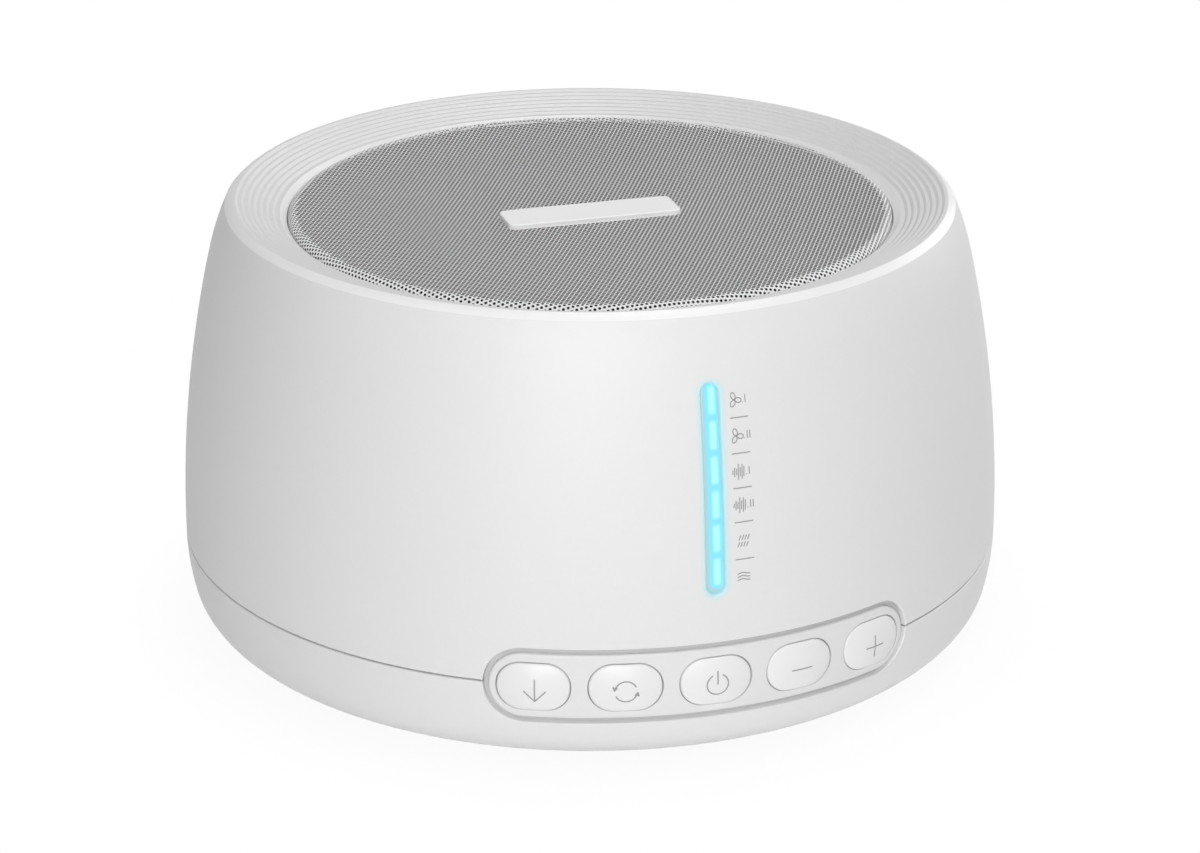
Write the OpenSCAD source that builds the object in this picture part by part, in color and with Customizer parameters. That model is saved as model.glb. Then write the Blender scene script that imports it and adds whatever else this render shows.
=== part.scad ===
// White noise sound machine: a round white housing with a speaker on top,
// a light bar and a row of five push buttons on the front.
// Millimetres. +Z is up, the front faces -Y, the origin is under the centre.

/* [Housing] */
// Widest radius, at the seam between the two shells
body_r = 62; // [58:0.5:66]
// Height of the rim's crest above the table
body_h = 66; // [64:0.5:70]
// Height of the seam between the two shells
seam_z = 14.3; // [13.6:0.1:16]
// Radius of the long curve of the side wall
wall_arc_r = 185; // [170:5:220]
// How far below the crest the side wall starts to curve in
shoulder_drop = 8.4; // [7:0.2:11]
// Radius of the curve between the side wall and the rim
shoulder_arc_r = 40; // [34:1:50]
// Rounding of the rim's outer edge
rim_round = 1; // [0.6:0.1:1.4]
// Radius of the base's side curve
base_arc_r = 33; // [28:1:45]
// Rounding between the base's side and its bottom
bottom_round = 7.2; // [5.6:0.2:8.4]
// Wall thickness of both shells
wall = 2.4; // [2:0.1:2.8]
// Open line between the two shells at the seam
seam_gap = 0.3; // [0.2:0.05:0.4]
// Thickness of the base's tongue behind the seam
tongue_t = 1; // [0.8:0.1:1.1]
// Height of the tongue above the seam
tongue_h = 2.2; // [1.8:0.1:3]

/* [Speaker ring] */
// Number of steps that lead down to the grille
step_count = 7; // [5:1:7]
// Width of one step
step_pitch = 0.9; // [0.8:0.02:0.92]
// Drop of one step
step_drop = 0.3; // [0.2:0.02:0.34]
// Width of the bevel inside the steps
bevel_w = 1; // [0.7:0.1:1.1]
// Drop of the bevel inside the steps
bevel_h = 0.9; // [0.6:0.1:1.2]
// Thickness of the collar around the grille
collar_t = 2.2; // [1.8:0.1:2.4]
// Thickness of the shelf that carries the grille and the speaker
shelf_t = 4; // [3.8:0.1:4.6]

/* [Grille] */
// Outer radius of the grille's skirt
grille_r = 45; // [44:0.1:45.2]
// Clearance between the grille and its collar
grille_gap = 0.2; // [0.1:0.05:0.3]
// Height of the whole grille pan at its edge
grille_h = 3.75; // [3.4:0.05:4.2]
// Outer rounding of the pan's edge
grille_round = 1.1; // [0.8:0.1:1.4]
// How much lower the pan's middle lies than its edge
grille_dish = 1.8; // [1:0.1:2]
// Sheet thickness of the grille
grille_t = 0.6; // [0.5:0.05:0.8]
// How far the pan's edge lies below the lowest step
grille_drop = 0.15; // [0:0.05:0.4]
// Thickness of the acoustic cloth under the grille
cloth_t = 0.4; // [0.3:0.05:0.6]

/* [Name plate] */
// Length of the bare plate
plate_l = 26.6; // [20:0.2:34]
// Width of the bare plate
plate_w = 7.2; // [5:0.1:9]
// Height of the plate above the grille's middle
plate_t = 0.8; // [0.6:0.1:1.2]
// Corner radius of the plate
plate_corner = 1.2; // [0.6:0.1:2]

/* [Buttons] */
// Width of one button's opening
button_w = 10.5; // [9.6:0.1:10.6]
// Height of one button's opening
button_h = 7.6; // [6.8:0.1:8]
// Corner radius of a button's opening
button_corner = 3.2; // [2.6:0.1:3.4]
// Angle from one button to the next, in degrees
button_pitch = 11.85; // [11.6:0.05:12.2]
// Clearance around a button
button_gap = 0.15; // [0.1:0.01:0.2]
// How far the middle of a button stands out of the panel
button_rise = 0.75; // [0.6:0.05:1]
// Radius of a button's dome
button_dome_r = 16; // [14:0.5:22]
// Travel of a button
button_travel = 0.5; // [0.3:0.05:0.6]

/* [Control panel] */
// Thickness of the panel
panel_t = 1.6; // [1.4:0.1:1.8]
// From the outer buttons to the ends of the panel's pocket
panel_margin_x = 1.9; // [1.8:0.05:2.4]
// From the buttons to the long sides of the panel's pocket
panel_margin_z = 1.65; // [1.5:0.05:1.8]
// Width of the groove around the panel
groove_w = 0.75; // [0.5:0.05:0.8]
// Depth of the groove around the panel
groove_depth = 0.8; // [0.6:0.05:1]
// Clearance between the panel's foot and its pocket
panel_gap = 0.05; // [0.03:0.01:0.1]

/* [Light bar] */
// Width of the light bar
bar_w = 2.6; // [2.2:0.1:3.2]
// Length of the light bar
bar_l = 29.4; // [28.8:0.1:31]
// How far below the crest the light bar's middle lies
bar_drop = 24.4; // [24:0.1:26]
// Number of lit segments
segment_count = 6; // [4:1:6]
// Distance from one segment to the next
segment_pitch = 4.8; // [4.5:0.05:4.9]
// Depth of the lens face below the wall's surface
bar_recess = 0.9; // [0.5:0.1:1.1]
// Clearance around the lens
lens_gap = 0.05; // [0.03:0.01:0.1]
// Distance from the wall to the indicator board
baffle_t = 3.2; // [2.6:0.1:3.4]

/* [Speaker] */
// Radius of the opening in the shelf
speaker_cutout_r = 34; // [33.6:0.1:34.2]
// Width of the speaker's flange around that opening
speaker_flange_w = 5; // [4.4:0.1:6]
// Thickness of the gasket between frame and shelf
gasket_t = 1; // [0.8:0.1:1.2]
// Sheet thickness of the frame
basket_t = 0.8; // [0.6:0.1:1]
// Depth of the frame from its face to the top plate
basket_depth = 16.5; // [16:0.1:17]
// Outer radius of the magnet
magnet_r = 27; // [25:0.5:29]
// Height of the magnet
magnet_h = 10; // [9:0.5:11]
// Thickness of the top plate and of the back plate
pole_plate_t = 3; // [2.6:0.1:3.4]
// Radius of the centre pole
pole_r = 9.2; // [8.8:0.1:9.3]
// Outer radius of the voice coil
coil_r = 10.15; // [10:0.05:10.3]
// Bore radius of the top plate
gap_r = 10.8; // [10.7:0.05:11.2]
// Outer radius of the cone
cone_r = 28.5; // [28:0.1:28.8]
// Depth of the cone
cone_depth = 9; // [8:0.1:9.4]
// How far the cone moves each way
cone_travel = 1.5; // [1:0.1:2]

/* [Electronics] */
// Radius of the main board
board_r = 43.5; // [40:0.1:43.8]
// Thickness of the main board
board_t = 1.6; // [1.2:0.1:1.8]
// Height of the main board's posts above the floor
post_h = 1.2; // [1:0.1:1.4]
// Radius of the power inlet's opening
inlet_r = 2.9; // [2.85:0.01:3]
// Depth of the power inlet's opening
inlet_depth = 9.5; // [8.5:0.1:10.5]
// Outer radius of the inlet's nose
nose_r = 3.4; // [3.35:0.01:3.5]
// Height of the inlet's axis above the main board
inlet_rise = 3.6; // [3.5:0.05:3.7]

/* [Feet and fasteners] */
// How far the feet stand out of the bottom
foot_h = 1.2; // [1:0.1:1.5]
// Depth of the pockets that hold the feet
foot_pocket = 0.6; // [0.4:0.1:0.8]
// Radius of a foot
foot_r = 5.5; // [4.5:0.1:6]
// Distance of a foot from the middle
foot_ring_r = 46; // [42:0.5:47]
// Inset of the case screws from the widest radius
column_inset = 12.5; // [12.3:0.1:13]
// Radius of the shells' screw columns
column_r = 3.5; // [3.2:0.1:3.8]
// Thread radius of the case screws
case_screw_r = 1.5; // [1.3:0.05:1.6]
// Thread radius of the small screws
small_screw_r = 1.2; // [1:0.05:1.3]

/* [Hidden] */

$fn = 72;
// Overlap that joins two shapes of one piece
eps = 0.01;
// How far a cut runs past what it cuts
over = 1;
deg = 180 / PI;
button_count = 5;
middle = (button_count - 1) / 2;

// Colours
shell_white = "#eef0f2";
panel_white = "#eaecee";
key_white = "#f4f5f6";
dark = "#2a2c2f";
steel = "#b9bdc1";
board_green = "#1f6b45";
amber = "#c8853a";

// ---------- profiles of revolution, as points [radius, height] ----------

function arc_pts(c, r, a0, a1, n) =
    [for (i = [0:n]) c + r * [cos(a0 + (a1 - a0) * i / n), sin(a0 + (a1 - a0) * i / n)]];
function reversed(p) = [for (i = [len(p) - 1:-1:0]) p[i]];

// Centres and end angles of the arcs of the outside, from the seam up
shoulder_z = body_h - shoulder_drop;
wall_c = [body_r - wall_arc_r, seam_z];
shoulder_a = asin((shoulder_z - seam_z) / wall_arc_r);
shoulder_c = wall_c + (wall_arc_r - shoulder_arc_r) * [cos(shoulder_a), sin(shoulder_a)];
rim_a = asin((body_h - rim_round - shoulder_c[1]) / (shoulder_arc_r - rim_round));
rim_c = shoulder_c + (shoulder_arc_r - rim_round) * [cos(rim_a), sin(rim_a)];

// From the seam down
base_c = [body_r - base_arc_r, seam_z];
bottom_a = asin((foot_h + bottom_round - seam_z) / (base_arc_r - bottom_round));
bottom_c = base_c + (base_arc_r - bottom_round) * [cos(bottom_a), sin(bottom_a)];

// The side wall and the shoulder, at a depth t below the outside
function upper_curve(t) = concat(
    arc_pts(wall_c, wall_arc_r - t, asin(seam_gap / 2 / wall_arc_r), shoulder_a, 12),
    arc_pts(shoulder_c, shoulder_arc_r - t, shoulder_a + 2, rim_a, 4));
// The base's side and bottom edge, from the bottom up
function base_curve(t) = concat(
    arc_pts(bottom_c, bottom_round - t, -90, bottom_a, 9),
    arc_pts(base_c, base_arc_r - t, bottom_a * 0.8, -asin(seam_gap / 2 / base_arc_r), 4));
// Radius of the outside at a height above the seam
function wall_radius(z) = z < shoulder_z
    ? wall_c[0] + sqrt(wall_arc_r * wall_arc_r - (z - seam_z) * (z - seam_z))
    : shoulder_c[0] + sqrt(shoulder_arc_r * shoulder_arc_r - pow(z - shoulder_c[1], 2));

// The outside near the seam, on both sides of it
band_up = 9;
band_down = 7.4;
function seam_curve(t) = concat(
    arc_pts(base_c, base_arc_r - t, -asin(band_down / base_arc_r), 0, 5),
    arc_pts(wall_c, wall_arc_r - t, asin(band_up / wall_arc_r) / 2,
        asin(band_up / wall_arc_r), 1));

// ---------- levels ----------

floor_z = foot_h + wall;
grille_outer = grille_r + grille_gap;
lip_z = body_h - step_count * step_drop;
ring_r = grille_outer + bevel_w;
grille_edge_z = lip_z - grille_drop;
shelf_top = grille_edge_z - grille_h;
shelf_z = shelf_top - shelf_t;
roof_t = 2.4;
roof_z = lip_z - roof_t;
collar_outer = grille_outer + collar_t;
column_ring_r = body_r - column_inset;
tongue_gap = 0.1;
tongue_outer = body_r - wall + tongue_t;
board_z = floor_z + post_h;
board_top = board_z + board_t;

// ---------- common shapes ----------

// Turns its children about the vertical axis, from the front
module toward(azimuth) rotate([0, 0, azimuth]) children();

// A shape drawn in front view, pushed along -Y from radius r0 to radius r1
module front_extrude(z, r0, r1)
    translate([0, 0, z]) rotate([90, 0, 0]) translate([0, 0, r0])
        linear_extrude(r1 - r0) children();

module rounded_rect(w, h, c) {
    square([w - 2 * c, h], center = true);
    square([w, h - 2 * c], center = true);
    for (x = [-1, 1], y = [-1, 1])
        translate([x * (w / 2 - c), y * (h / 2 - c)]) circle(c);
}

// A pill that stands upright
module stadium(w, h) {
    square([w, h - w], center = true);
    for (s = [-1, 1]) translate([0, s * (h - w) / 2]) circle(w / 2);
}

module ring(r0, r1, z0, z1)
    rotate_extrude() translate([r0, z0]) square([r1 - r0, z1 - z0]);

// Part of a ring, centred on the front
module ring_sector(r0, r1, z0, z1, half_angle)
    rotate([0, 0, -90 - half_angle])
        rotate_extrude(angle = 2 * half_angle)
            translate([r0, z0]) square([r1 - r0, z1 - z0]);

module revolve(points) rotate_extrude() polygon(points);

// A wire through points that lie roughly in a plane of constant X
wire_sides = 12;
module wire_path(points, r) {
    last = len(points) - 1;
    rings = [for (i = [0:last]) let (
        d = points[min(i + 1, last)] - points[max(i - 1, 0)],
        side = cross(d / norm(d), [1, 0, 0]))
        for (k = [0:wire_sides - 1]) let (a = 360 * k / wire_sides)
            points[i] + r * (cos(a) * [1, 0, 0] + sin(a) * side / norm(side))];
    faces = concat(
        [[for (k = [0:wire_sides - 1]) k]],
        [for (i = [0:last - 1]) for (k = [0:wire_sides - 1]) let (n = (k + 1) % wire_sides)
            [i * wire_sides + k, (i + 1) * wire_sides + k,
                (i + 1) * wire_sides + n, i * wire_sides + n]],
        [[for (k = [wire_sides - 1:-1:0]) last * wire_sides + k]]);
    polyhedron(rings, faces);
}

// A flat ribbon of a given width along X, through [y, z] points, with mitred bends
function unit_normal(p, q) = [p[1] - q[1], q[0] - p[0]] / norm(q - p);
function ribbon_edge(points, s) = let (last = len(points) - 1)
    [for (i = [0:last]) let (
        before = unit_normal(points[max(i - 1, 0)], points[max(i, 1)]),
        after = unit_normal(points[min(i, last - 1)], points[min(i + 1, last)]),
        m = before + after)
        points[i] + m * 2 * s / (m * m)];
module ribbon_path(points, t, w) rotate([90, 0, 90]) linear_extrude(w, center = true)
    polygon(concat(ribbon_edge(points, t / 2), reversed(ribbon_edge(points, -t / 2))));

// A screw that points down, its head on the plane z = 0
module screw(r, length, head_r, head_h) {
    translate([0, 0, -length]) cylinder(r = r, h = length);
    difference() {
        cylinder(r = head_r, h = head_h);
        translate([0, 0, head_h * 0.45])
            for (a = [0, 90]) rotate(a)
                translate([-head_r * 0.6, -head_r * 0.12, 0])
                    cube([head_r * 1.2, head_r * 0.24, head_h]);
    }
}

// ---------- control panel pocket ----------

pocket_half_h = button_h / 2 + panel_margin_z;
pocket_half_a = middle * button_pitch + (button_w / 2 + panel_margin_x) / body_r * deg;
ledge_w = 1;

// The pocket's pill outline, cut back by a margin all round
pill_reach = 14;
module pill_outline(margin) {
    half_h = pocket_half_h - margin;
    end_a = pocket_half_a - (margin + half_h) / body_r * deg;
    ring_sector(body_r - pill_reach, body_r + pill_reach, seam_z - half_h, seam_z + half_h,
        end_a);
    for (s = [-1, 1]) toward(s * end_a)
        translate([0, -body_r, seam_z]) rotate([90, 0, 0])
            cylinder(r = half_h, h = 2 * pill_reach, center = true);
}

// The layer of the housing's wall between two depths, near the seam
module seam_layer(t0, t1) revolve(concat(seam_curve(t0), reversed(seam_curve(t1))));

// The panel's seat, and the window behind it that leaves a ledge all round
module panel_cut() {
    intersection() {
        seam_layer(-over, panel_t);
        pill_outline(0);
    }
    intersection() {
        seam_layer(-over, wall + tongue_t + over);
        pill_outline(ledge_w);
    }
}

// ---------- shells ----------

// Bosses, sunk seats and pilot holes of the case screws
boss_r = 5;
recess_r = 3.1;
head_seat_z = 7.6;
case_screw_l = 18;
hole_gap = 0.2;
pilot_gap = 0.05;
column_top = roof_z + 0.9;
// Posts of the main board
post_r = 3;
posts = [[30, 24], [-30, 24], [-30, -20], [30, -20]];
board_screw_l = 3.4;
// Posts of the switch carrier
carrier_post_r = 3;
carrier_post_ring = column_ring_r - 2;
carrier_post_a = 20;
carrier_z = floor_z + 4.2;
carrier_screw_l = 5.4;
pilot_floor_t = 1.4;
// Room around the inlet's nose and around the feet
inlet_z = board_top + inlet_rise;
nose_gap = 0.15;
foot_gap = 0.1;

module at_columns() for (a = [45, 135, 225, 315]) toward(a)
    translate([0, -column_ring_r, 0]) children();
module at_posts() for (p = posts) translate([p[0], p[1], 0]) children();
module at_carrier_posts() for (s = [-1, 1]) toward(s * carrier_post_a)
    translate([0, -carrier_post_ring, 0]) children();
module at_feet() for (a = [0, 90, 180, 270]) toward(a)
    translate([0, -foot_ring_r, 0]) children();

tongue_top = seam_z + tongue_h;
module base_shell() color(shell_white) difference() {
    union() {
        difference() {
            revolve(concat([[0, foot_h]], base_curve(0), [
                [tongue_outer, seam_z - seam_gap / 2], [tongue_outer, tongue_top],
                [0, tongue_top]]));
            revolve(concat([[0, floor_z]], base_curve(wall),
                [[body_r - wall, tongue_top + over], [0, tongue_top + over]]));
        }
        at_columns() translate([0, 0, floor_z - eps])
            cylinder(r = boss_r, h = seam_z - seam_gap / 2 - floor_z);
        at_posts() translate([0, 0, floor_z - eps]) cylinder(r = post_r, h = post_h + eps);
        at_carrier_posts() translate([0, 0, floor_z - eps])
            cylinder(r = carrier_post_r, h = carrier_z - floor_z + eps);
    }
    panel_cut();
    at_columns() {
        translate([0, 0, -eps]) cylinder(r = recess_r, h = head_seat_z + eps);
        cylinder(r = case_screw_r + hole_gap, h = seam_z + over);
    }
    at_posts() translate([0, 0, board_top - board_screw_l - hole_gap])
        cylinder(r = small_screw_r + pilot_gap, h = board_screw_l);
    at_carrier_posts() translate([0, 0, foot_h + pilot_floor_t])
        cylinder(r = small_screw_r + pilot_gap, h = carrier_z);
    at_feet() translate([0, 0, -eps])
        cylinder(r = foot_r + foot_gap, h = foot_h + foot_pocket + eps);
    translate([0, 0, inlet_z]) rotate([-90, 0, 0]) cylinder(r = nose_r + nose_gap, h = body_r);
}

// The steps, from the lip outward and up to the crest
step_points = [for (i = [0:step_count - 1]) for (j = [0, 1])
    [ring_r + (i + 1) * step_pitch, lip_z + (i + j) * step_drop]];

module upper_shell() color(shell_white) difference() {
    union() {
        difference() {
            revolve(concat(upper_curve(0), arc_pts(rim_c, rim_round, rim_a, 90, 6),
                reversed(step_points), [[ring_r, lip_z], [grille_outer, lip_z - bevel_h],
                [0, lip_z - bevel_h], [0, seam_z + seam_gap / 2]]));
            // Inside, up to the roof
            revolve(concat([[0, seam_z - over], [body_r - wall, seam_z - over]],
                [for (p = upper_curve(wall)) if (p[1] < roof_z + over) p],
                [[collar_outer, roof_z], [collar_outer, shelf_z], [0, shelf_z]]));
            // Seat of the grille and opening of the speaker
            ring(0, grille_outer, shelf_top, lip_z);
            ring(0, speaker_cutout_r, shelf_z - over, shelf_top + over);
            // Room for the base's tongue
            ring(0, tongue_outer + tongue_gap, seam_z - over, tongue_top + hole_gap);
        }
        at_columns() translate([0, 0, seam_z + seam_gap / 2])
            cylinder(r = column_r, h = column_top - seam_z);
        in_bar_frame() at_indicator_screws()
            translate([0, 0, -wall - baffle_t])
                cylinder(r = indicator_boss_r, h = baffle_t + wall / 2);
    }
    panel_cut();
    at_columns() translate([0, 0, seam_z])
        cylinder(r = case_screw_r + pilot_gap, h = case_screw_l);
    at_speaker_screws() translate([0, 0, shelf_z - over])
        cylinder(r = small_screw_r + pilot_gap, h = speaker_screw_l);
    bar_prism(lens_gap);
    in_bar_frame() at_indicator_screws() translate([0, 0, -wall - baffle_t - over])
        cylinder(r = indicator_screw_r + pilot_gap, h = indicator_screw_l);
}

// ---------- control panel and buttons ----------

module button_prism(gap, r0, r1)
    front_extrude(seam_z, r0, r1)
        rounded_rect(button_w - 2 * gap, button_h - 2 * gap, button_corner - gap);

module control_panel() color(panel_white) difference() {
    union() {
        intersection() {
            seam_layer(groove_depth, panel_t);
            pill_outline(panel_gap);
        }
        intersection() {
            seam_layer(0, panel_t);
            pill_outline(groove_w);
        }
    }
    for (i = [0:button_count - 1]) toward((i - middle) * button_pitch)
        button_prism(0, body_r - panel_t - over, body_r + over);
}

// The flange that stops a button behind the panel, and the stem on it
flange_clear = 0.3;
flange_w = 0.5;
flange_t = 0.8;
stem_r = 2;
stem_l = 1.4;
// The plunger stands out of its switch and reaches into it
plunger_r = 1.7;
plunger_gap = 0.15;
plunger_out = 0.8;
plunger_in = 1;
plunger_clear = 0.3;
switch_w = 6;
switch_h = 3.5;
carrier_t = 2;
carrier_tab_t = 1.8;
carrier_tab_w = 8;
flex_t = 0.2;

// The panel's back lies further in beside a button's middle than at it
button_drop = body_r - sqrt(body_r * body_r - pow(button_w / 2 + flange_w, 2));
flange_r = body_r - panel_t - flange_clear - button_drop;
stem_end_r = flange_r - flange_t - stem_l;
switch_top = stem_end_r - plunger_out;
flex_r = switch_top - switch_h;
carrier_r = flex_r - flex_t;

module button_at(i) toward((i - middle) * button_pitch) {
    intersection() {
        button_prism(button_gap, flange_r - eps, body_r + over);
        translate([0, button_dome_r - body_r - button_rise, seam_z]) sphere(button_dome_r);
    }
    front_extrude(seam_z, flange_r - flange_t, flange_r)
        rounded_rect(button_w + 2 * flange_w, button_h - 2 * button_gap, button_corner);
    front_extrude(seam_z, stem_end_r, flange_r - flange_t + eps) circle(stem_r);
}

module plunger_at(i) color(dark) toward((i - middle) * button_pitch)
    front_extrude(seam_z, switch_top - plunger_in, stem_end_r) circle(plunger_r);

module button_down() color(key_white) button_at(0);
module button_cycle() color(key_white) button_at(1);
module button_power() color(key_white) button_at(2);
module button_minus() color(key_white) button_at(3);
module button_plus() color(key_white) button_at(4);
module plunger_down() plunger_at(0);
module plunger_cycle() plunger_at(1);
module plunger_power() plunger_at(2);
module plunger_minus() plunger_at(3);
module plunger_plus() plunger_at(4);

plunger_floor_r = switch_top - plunger_in - button_travel - plunger_clear;
module switch_housings() color(dark)
    for (i = [0:button_count - 1]) toward((i - middle) * button_pitch) difference() {
        front_extrude(seam_z, flex_r, switch_top) square(switch_w, center = true);
        front_extrude(seam_z, plunger_floor_r, switch_top + over) circle(plunger_r + plunger_gap);
    }

strip_margin = 2;
strip_half_a = middle * button_pitch + (switch_w / 2 + strip_margin) / flex_r * deg;
strip_half_h = 4.4;
carrier_rim = 1;

// The flexible circuit lies on the carrier's outer face
module switch_flex() color(amber)
    ring_sector(carrier_r, flex_r, seam_z - strip_half_h, seam_z + strip_half_h, strip_half_a);

// A curved strip on two tabs that stand on the base's posts
module switch_carrier() color(dark) difference() {
    union() {
        ring_sector(carrier_r - carrier_t, carrier_r, carrier_z,
            seam_z + strip_half_h + carrier_rim, strip_half_a);
        at_carrier_posts()
            translate([-carrier_tab_w / 2, carrier_post_ring - carrier_r + carrier_t / 4, carrier_z])
            cube([carrier_tab_w, carrier_r - carrier_post_ring + carrier_post_r, carrier_tab_t]);
    }
    at_carrier_posts() translate([0, 0, carrier_z - over])
        cylinder(r = small_screw_r + hole_gap, h = carrier_tab_t + 2 * over);
}

small_head_r = 2.3;
small_head_h = 1.5;
module carrier_screws() color(steel) at_carrier_posts()
    translate([0, 0, carrier_z + carrier_tab_t])
        screw(small_screw_r, carrier_screw_l, small_head_r, small_head_h);

// ---------- light bar ----------

bar_z = body_h - bar_drop;
bar_bottom = bar_z - bar_l / 2;
bar_top = bar_z + bar_l / 2;
bar_tilt = atan((wall_radius(bar_bottom) - wall_radius(bar_top)) / bar_l);
bar_mid_r = (wall_radius(bar_bottom) + wall_radius(bar_top)) / 2;
indicator_boss_r = 2.2;
indicator_board_t = 1;
indicator_board_w = 15.6;
indicator_screw_r = small_screw_r - 0.2;
indicator_screw_l = 4;
indicator_screw_at = [5.4, 11];
// The baffle and its board reach past the ends of the bar
bar_end = 1;
baffle_w = 6;
cell_w = 2.1;
cell_wall = 0.6;
led_w = 1.6;
led_t = 0.8;

// The light bar's own frame: its Z axis points out of the wall, its Y axis up along it
module in_bar_frame() translate([0, -bar_mid_r, bar_z]) rotate([90 - bar_tilt, 0, 0]) children();
module at_indicator_screws() for (s = [-1, 1]) translate(s * indicator_screw_at) children();
module at_segments() for (i = [0:segment_count - 1])
    translate([0, (i - (segment_count - 1) / 2) * segment_pitch, 0]) children();

// The bar's outline, pushed through the whole wall
bar_reach = 5;
module bar_prism(gap)
    front_extrude(bar_z, bar_mid_r - wall - bar_reach, bar_mid_r + bar_reach)
        stadium(bar_w + 2 * gap, bar_l + 2 * gap);

// The layer of the side wall between two depths
module wall_layer(t0, t1) revolve(concat(upper_curve(t0), reversed(upper_curve(t1))));

module light_lens() color("#8fe9ff") intersection() {
    bar_prism(0);
    wall_layer(bar_recess, wall);
}

// One cell per segment, so that the light of one LED stays in its own segment
module light_baffle() color(dark) difference() {
    intersection() {
        in_bar_frame() translate([-baffle_w / 2, -bar_l / 2 - bar_end, -wall - baffle_t])
            cube([baffle_w, bar_l + 2 * bar_end, baffle_t + wall]);
        wall_layer(wall, wall + 3 * baffle_t, $fn = 180);
    }
    in_bar_frame() at_segments() translate([0, 0, -wall - baffle_t - over])
        linear_extrude(baffle_t + wall + 2 * over)
            square([cell_w, segment_pitch - cell_wall], center = true);
}

module indicator_leds() color("#dff8ff") in_bar_frame() at_segments()
    translate([-led_w / 2, -led_w / 2, -wall - baffle_t]) cube([led_w, led_w, led_t]);

indicator_board_z = -wall - baffle_t - indicator_board_t;
module indicator_board() color(board_green) in_bar_frame() difference() {
    translate([-indicator_board_w / 2, -bar_l / 2 - bar_end, indicator_board_z])
        cube([indicator_board_w, bar_l + 2 * bar_end, indicator_board_t]);
    at_indicator_screws() translate([0, 0, indicator_board_z - over])
        cylinder(r = indicator_screw_r + hole_gap, h = indicator_board_t + 2 * over);
}

module indicator_screws() color(steel) in_bar_frame() at_indicator_screws()
    translate([0, 0, indicator_board_z]) rotate([180, 0, 0])
        screw(indicator_screw_r, indicator_screw_l - indicator_board_t + over / 2, 1.9, 1.2);

// ---------- electronics ----------

header_w = 8;
header_d = 5;
header_h = 6;
header_depth = 4;
// Where a plug's leads come up from their header, and how deep they reach into it
lead_rise = 3;
lead_depth = 2;
// Azimuth and distance from the middle of each header
light_header = [0, 31];
key_header = [18, 34.5];
speaker_header = [180, 29];
ribbon_t = 0.4;
ribbon_w = 5;
// Lowest bend of the indicator ribbon: distance from the middle, height above the seam
ribbon_bend = [44, 7];

// The ribbon leaves the back of the indicator board and drops onto its header
ribbon_y = -bar_mid_r + wall + baffle_t + indicator_board_t;
module indicator_ribbon() color("#d9dde0") ribbon_path([
    [ribbon_y + 0.45 - 10 * sin(bar_tilt), bar_z - 10],
    [ribbon_y + 3.6, bar_z - 14],
    [-ribbon_bend[0], seam_z + ribbon_bend[1]],
    [-light_header[1], board_top + header_h + lead_rise],
    [-light_header[1], board_top + header_h - lead_depth]], ribbon_t, ribbon_w);

// The tail of the flexible circuit climbs over the carrier and drops onto its header
tail_y = -(carrier_r + flex_r) / 2;
module key_ribbon() color(amber) toward(key_header[0]) ribbon_path([
    [tail_y, seam_z + strip_half_h],
    [tail_y, seam_z + strip_half_h + 2.2],
    [-46, seam_z + strip_half_h + 2.6],
    [-key_header[1], board_top + header_h + lead_rise],
    [-key_header[1], board_top + header_h - lead_depth]], flex_t, ribbon_w);

// Power inlet: its axis runs along Y, its mouth faces the back
inlet_back = 46;
inlet_w = 9;
inlet_face = body_r - 0.7;
inlet_box_end = body_r - wall - 1.4;
pin_r = 1;
pin_l = inlet_depth - 1;

// A round board with a straight front edge and a tongue for the inlet at the back
board_flat = 38;
board_tab_w = 18;
board_tab_l = 9.5;
module main_board() color(board_green) difference() {
    translate([0, 0, board_z]) linear_extrude(board_t) {
        difference() {
            circle(board_r);
            translate([-body_r, -body_r - board_flat]) square([2 * body_r, body_r]);
        }
        translate([-board_tab_w / 2, 0]) square([board_tab_w, inlet_back + board_tab_l]);
    }
    at_posts() translate([0, 0, board_z - over])
        cylinder(r = small_screw_r + hole_gap, h = board_t + 2 * over);
}

module board_screws() color(steel) at_posts() translate([0, 0, board_top])
    screw(small_screw_r, board_screw_l, small_head_r, small_head_h);

// Corner and size of each chip
processor_at = [-6, -8];
processor_size = [12, 12, 1.4];
amplifier_at = [14, 6];
amplifier_size = [6, 10, 1.8];
memory_at = [-20, -6];
memory_size = [5, 6, 1.6];
module chip(at, size) color(dark) translate([at[0], at[1], board_top]) cube(size);
module processor_chip() chip(processor_at, processor_size);
module amplifier_chip() chip(amplifier_at, amplifier_size);
module memory_chip() chip(memory_at, memory_size);
// Place, radius and height of each capacitor: the tall ones stand beside the magnet
capacitor_list = [[32, 4, 4, 11], [-31, 9, 4, 11], [-12, 16, 3, 7]];
module capacitors() color("#2f3f66") for (c = capacitor_list)
    translate([c[0], c[1], board_top]) cylinder(r = c[2], h = c[3]);

header_wall = 1;
module board_headers() color("#e9e4d4")
    for (h = [light_header, key_header, speaker_header]) toward(h[0])
        translate([-header_w / 2, -h[1] - header_d / 2, board_top]) difference() {
            cube([header_w, header_d, header_h]);
            translate([header_wall, header_wall, header_h - header_depth])
                cube([header_w - 2 * header_wall, header_d - 2 * header_wall, header_depth + over]);
        }

module inlet_body() color(dark) difference() {
    union() {
        translate([-inlet_w / 2, inlet_back, board_top])
            cube([inlet_w, inlet_box_end - inlet_back, 2 * inlet_rise]);
        translate([0, inlet_box_end - eps, inlet_z]) rotate([-90, 0, 0])
            cylinder(r = nose_r, h = inlet_face - inlet_box_end + eps);
    }
    translate([0, inlet_face - inlet_depth, inlet_z]) rotate([-90, 0, 0])
        cylinder(r = inlet_r, h = inlet_depth + over);
}
module inlet_pin() color(steel) translate([0, inlet_face - inlet_depth, inlet_z])
    rotate([-90, 0, 0]) cylinder(r = pin_r, h = pin_l);

// ---------- grille ----------

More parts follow.
